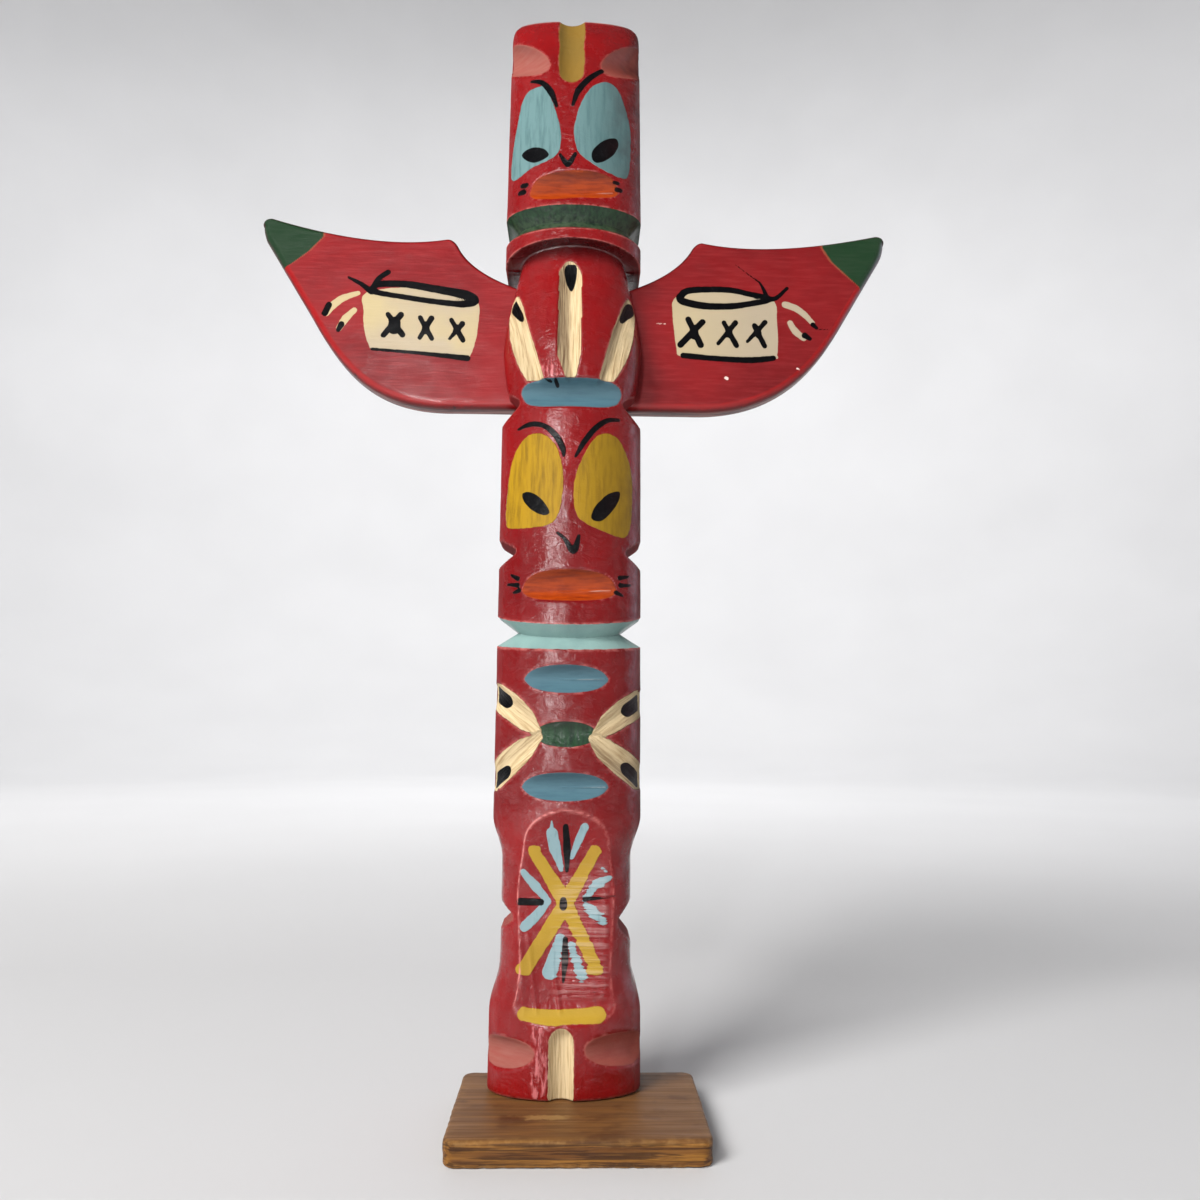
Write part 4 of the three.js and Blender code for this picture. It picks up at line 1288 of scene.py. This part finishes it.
def wingPaintMaterial():
    s = Surface("paintedBoard")
    broad = s.noise(s.place, 45, 3)
    streaks = s.noise(s.stretched((0.1, 1, 1)), 1100, 4, 0.62)
    wobble = s.sums("MULTIPLY_ADD", s.noise(s.place, 640, 2), 0.36, -0.18)
    s.colour = s.blend(s.between(broad, 0.35, 0.7), rgb(138, 20, 24), rgb(112, 13, 18))
    s.over(s.between(streaks, 0.46, 0.72, 0, 0.4), rgb(166, 52, 54))
    # Painted shade: the right wing's red is darker.
    s.over(s.between(s.x, 0.01, 0.04, 0, 0.26), rgb(74, 16, 16))
    green = s.coat("green", wobble, 0.08)
    s.over(green, s.blend(s.between(streaks, 0.45, 0.7), rgb(24, 52, 29), rgb(36, 58, 38)))
    s.over(s.times(s.coat("tan", wobble, 0.12), 0.5), rgb(156, 84, 58))
    creamTone = s.blend(s.between(broad, 0.4, 0.62), rgb(190, 172, 130), rgb(178, 162, 136))
    # Painted shade: the cream is greyer on the right wing.
    creamTone = s.blend(s.between(s.x, 0.01, 0.05), creamTone, rgb(166, 152, 130))
    s.over(s.coat("cream", wobble, 0.06), creamTone)
    black = s.coat("black", s.times(wobble, 0.7), 0.06)
    s.over(black, enamel["black"][0])
    s.over(s.coat("chip", wobble, 0.08), rgb(232, 206, 196))
    # The rims are darker, a painted highlight brightens the lower rounded rim, and the sawn edge shows the
    # board's thin layers.
    rimShare = s.between(s.sums("ADD", "highRim", wobble), 0.75, 0.25)
    s.over(s.times(rimShare, 0.8), rgb(50, 12, 14))
    # Painted highlight: a brighter red band along the lower rounded rim.
    lowRimHighlight = s.between(s.sums("ADD", "lowRim", wobble), 2.3, 1.7)
    redShare = s.sums("SUBTRACT", 1.0, green)
    s.over(s.times(lowRimHighlight, 0.7, redShare), rgb(158, 12, 14))
    underShare = s.between(s.sums("MULTIPLY_ADD", wobble, 1.5, "lowRim"), 0.9, 0.3)
    s.over(s.times(underShare, 0.65), rgb(58, 10, 13))
    nicks = s.times(
        s.between(s.noise(s.place, 210, 3, 0.7), 0.62, 0.66), s.between("lowRim", 1.0, 0.3), clamp=True
    )
    s.over(nicks, rgb(60, 14, 18))
    layers = s.between(s.noise(s.stretched((0.06, 1.0, 0.06)), 1100, 3, 0.5), 0.42, 0.6)
    edgeTone = s.blend(layers, rgb(70, 28, 28), rgb(136, 84, 76))
    onEdge = s.times(s.between(s.y, 0.0150, 0.0156), s.between("rim", 0.5, 0.1), clamp=True)
    s.over(s.times(onEdge, 0.9), edgeTone)
    s.shade("Base Color", s.colour)
    rough = s.between(s.noise(s.place, 300, 3), 0.3, 0.7, 0.3, 0.46)
    s.shade("Roughness", s.sums("MULTIPLY_ADD", onEdge, 0.25, rough))
    s.shade("Coat Weight", s.between("lowRim", 3.0, 1.5, 0.06, 0.45))
    s.shade("Specular IOR Level", s.between(black, 0, 1, 0.3, 0.08))
    s.shade("Coat Roughness", 0.14)
    normal = s.bump(streaks, 0.00012, 0.6)
    normal = s.bump(s.noise(s.place, 500, 3), 0.0001, 0.35, normal)
    s.shade("Normal", normal)
    return s.material


def plaqueWood():
    s = Surface("stainedWood")
    grain = s.noise(s.stretched((0.05, 1, 1)), 620, 5, 0.6, 0.8)
    rings = s.noise(s.stretched((0.03, 0.6, 1.0)), 330, 3, 0.5, 1.6)
    pores = s.noise(s.stretched((0.05, 1, 1)), 2600, 2)
    s.colour = s.blend(s.between(rings, 0.38, 0.62), rgb(150, 102, 40), rgb(98, 60, 24))
    s.over(s.between(grain, 0.47, 0.62, 0, 0.85), rgb(66, 38, 18))
    s.over(s.between(pores, 0.55, 0.75, 0, 0.35), rgb(56, 34, 20))
    top = s.between(s.z, 0.0050, 0.0059)
    s.over(s.times(top, 0.72), rgb(113, 79, 49))
    s.over(s.times("worn", s.between(s.noise(s.place, 500, 4), 0.45, 0.65, 0, 0.26)), rgb(196, 152, 92))
    lines = s.noise(s.stretched((0.03, 0.4, 1)), 1500, 3, 0.5, 0.6)
    lines = s.times(s.between(lines, 0.49, 0.58, 0, 0.75), s.sums("SUBTRACT", 1.0, top))
    s.over(lines, rgb(50, 28, 13))
    stain = s.times(s.between(s.noise(s.stretched((0.6, 1, 1)), 150, 3, 0.6), 0.56, 0.66), top)
    s.over(s.times(stain, 0.45), rgb(70, 42, 26))
    # A pale scar and a dark smear lie in front of the foot.
    across, along = s.x, s.y
    ragged = s.sums("MULTIPLY_ADD", s.noise(s.place, 700, 3), 0.003, -0.0015)
    across, along = s.sums("ADD", across, ragged), s.sums("ADD", along, ragged)
    strip = s.times(s.between(along, -0.0098, -0.0090), s.between(along, -0.0068, -0.0076))
    strip = s.times(strip, top)
    scar = s.times(s.between(across, -0.0128, -0.0112), s.between(across, -0.002, -0.0038))
    smear = s.times(s.between(across, -0.0195, -0.0175), s.between(across, -0.0122, -0.0136))
    s.over(s.times(strip, scar, 0.75), rgb(158, 122, 74))
    s.over(s.times(strip, smear, 0.5), rgb(64, 30, 20))
    s.shade("Base Color", s.colour)
    s.shade("Specular IOR Level", 0.3)
    s.shade("Roughness", s.between(grain, 0.3, 0.7, 0.42, 0.62))
    normal = s.bump(grain, 0.0002, 0.5)
    normal = s.bump(pores, 0.00008, 0.5, normal)
    s.shade("Normal", normal)
    return s.material


polePiece = makePiece("paintedPole", polePoints, poleQuads, poleFan, poleFields, polePaint())
wingPiece = makePiece(
    "paintedWings", wingPoints, wingQuads[:, ::-1], wingFan[:, ::-1], wingFields, wingPaintMaterial()
)
plaquePiece = makePiece("woodenBase", plaquePoints, plaqueQuads, plaqueFan, plaqueFields, plaqueWood())
for piece, node, slotName in (
    (polePiece, "carved_pole", "painted_wood"),
    (wingPiece, "wing_board", "painted_board"),
    (plaquePiece, "base_plaque", "stained_wood"),
):
    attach(piece, "root")
    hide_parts(node)
    print(piece.name, len(piece.data.polygons), "faces")

studio = {"flatRadius": 1600, "bend": 1200, "height": 3800}


def makeSweep():
    # A wide dish: a flat disc, a quarter-round bend and an upright wall, turned about the vertical.
    turn = np.linspace(0, np.pi / 2, 12)
    radius = np.concatenate([
        [350, 800], studio["flatRadius"] + studio["bend"] * np.sin(turn),
        [studio["flatRadius"] + studio["bend"]],
    ])
    height = np.concatenate([[0, 0], studio["bend"] * (1 - np.cos(turn)), [studio["height"]]])
    angle = np.linspace(0, 2 * np.pi, 96, endpoint=False)
    grid = np.stack(
        [radius[:, None] * np.cos(angle), radius[:, None] * np.sin(angle), height[:, None] + 0 * angle], -1
    )
    points = np.concatenate([grid.reshape(-1, 3), [[0, 0, 0]]])
    k = np.arange(96)
    fan = np.stack([k, (k + 1) % 96, np.full(96, len(points) - 1)], -1)
    s = Surface("palePaper")
    tone = s.blend(s.between(s.noise(s.place, 3, 2), 0.3, 0.7), (0.66, 0.66, 0.67, 1), (0.63, 0.63, 0.64, 1))
    s.shade("Base Color", tone)
    s.shade("Roughness", 0.75)
    sweep = makePiece("floorSweep", points, ringQuads(len(radius), 96)[:, ::-1], fan, {}, s.material)


def standAt(thing, right, up, back, place):
    # Its own right, up and backward directions, and where it stands.
    matrix = np.eye(4)
    matrix[:3] = np.stack([right, up, back, place], 1)
    thing.matrix_world = Matrix(matrix.tolist())
    bpy.context.collection.objects.link(thing)


def addLight(name, place, aim, size, power, colour=(1, 1, 1)):
    lamp = bpy.data.lights.new(name, "AREA")
    lamp.shape = "RECTANGLE"
    lamp.size, lamp.size_y = size
    lamp.energy = power
    lamp.color = colour
    light = bpy.data.objects.new(name, lamp)
    light.visible_camera = False
    toAim = np.array(aim, float) - np.array(place, float)
    back = -toAim / np.linalg.norm(toAim)
    right = np.cross([0, 0, 1], back) if abs(back[2]) < 0.99 else np.array([1.0, 0, 0])
    right /= np.linalg.norm(right)
    standAt(light, right, np.cross(back, right), back, place)
    return light


makeSweep()
target = (0, 0, 0.15)
addLight("keySoftbox", (-1.02, -1.0, 1.25), target, (0.8, 0.8), 43, (1.0, 0.985, 0.96)).visible_glossy = False
addLight("keyGlow", (-0.80, -0.95, 0.42), target, (0.30, 0.9), 0.35)
addLight("frontStrip", (-0.24, -0.95, 0.30), target, (0.06, 0.6), 3.5)
addLight("lowCard", (-0.14, -0.38, 0.004), (-0.14, -0.38, 1.0), (0.28, 0.30), 0.55).visible_diffuse = False
addLight("rightSheen", (1.3, 0.1, 0.45), target, (1.0, 1.0), 3.2, (0.80, 0.80, 1.0)).visible_diffuse = False
addLight("backdropWash", (0.0, 0.5, 1.5), (0.0, 2.6, 1.0), (1.6, 0.5), 46)
world = bpy.data.worlds.new("studio")
world.use_nodes = True
world.node_tree.nodes["Background"].inputs["Color"].default_value = (0.95, 0.97, 1.0, 1)
world.node_tree.nodes["Background"].inputs["Strength"].default_value = 0.09
bpy.context.scene.world = world
bpy.context.scene.view_settings.view_transform = "Standard"


def addCamera():
    # The camera looks up by pitch and right by yaw, and is rolled a little.
    pitch, yaw, roll = np.radians([8.03, 1.3, -0.4])
    ahead = np.array([np.sin(yaw) * np.cos(pitch), np.cos(yaw) * np.cos(pitch), np.sin(pitch)])
    level = np.array([np.cos(yaw), -np.sin(yaw), 0])
    over = np.cross(level, ahead)
    right = np.cos(roll) * level - np.sin(roll) * over
    up = np.sin(roll) * level + np.cos(roll) * over
    data = bpy.data.cameras.new("viewCamera")
    data.lens = 27.09
    data.sensor_width = 36
    data.clip_start = 0.01
    data.clip_end = 50
    camera = bpy.data.objects.new("viewCamera", data)
    standAt(camera, right, up, -ahead, (-0.0009, -0.236, 0.097))
    bpy.context.scene.camera = camera


addCamera()
print("studio ready")
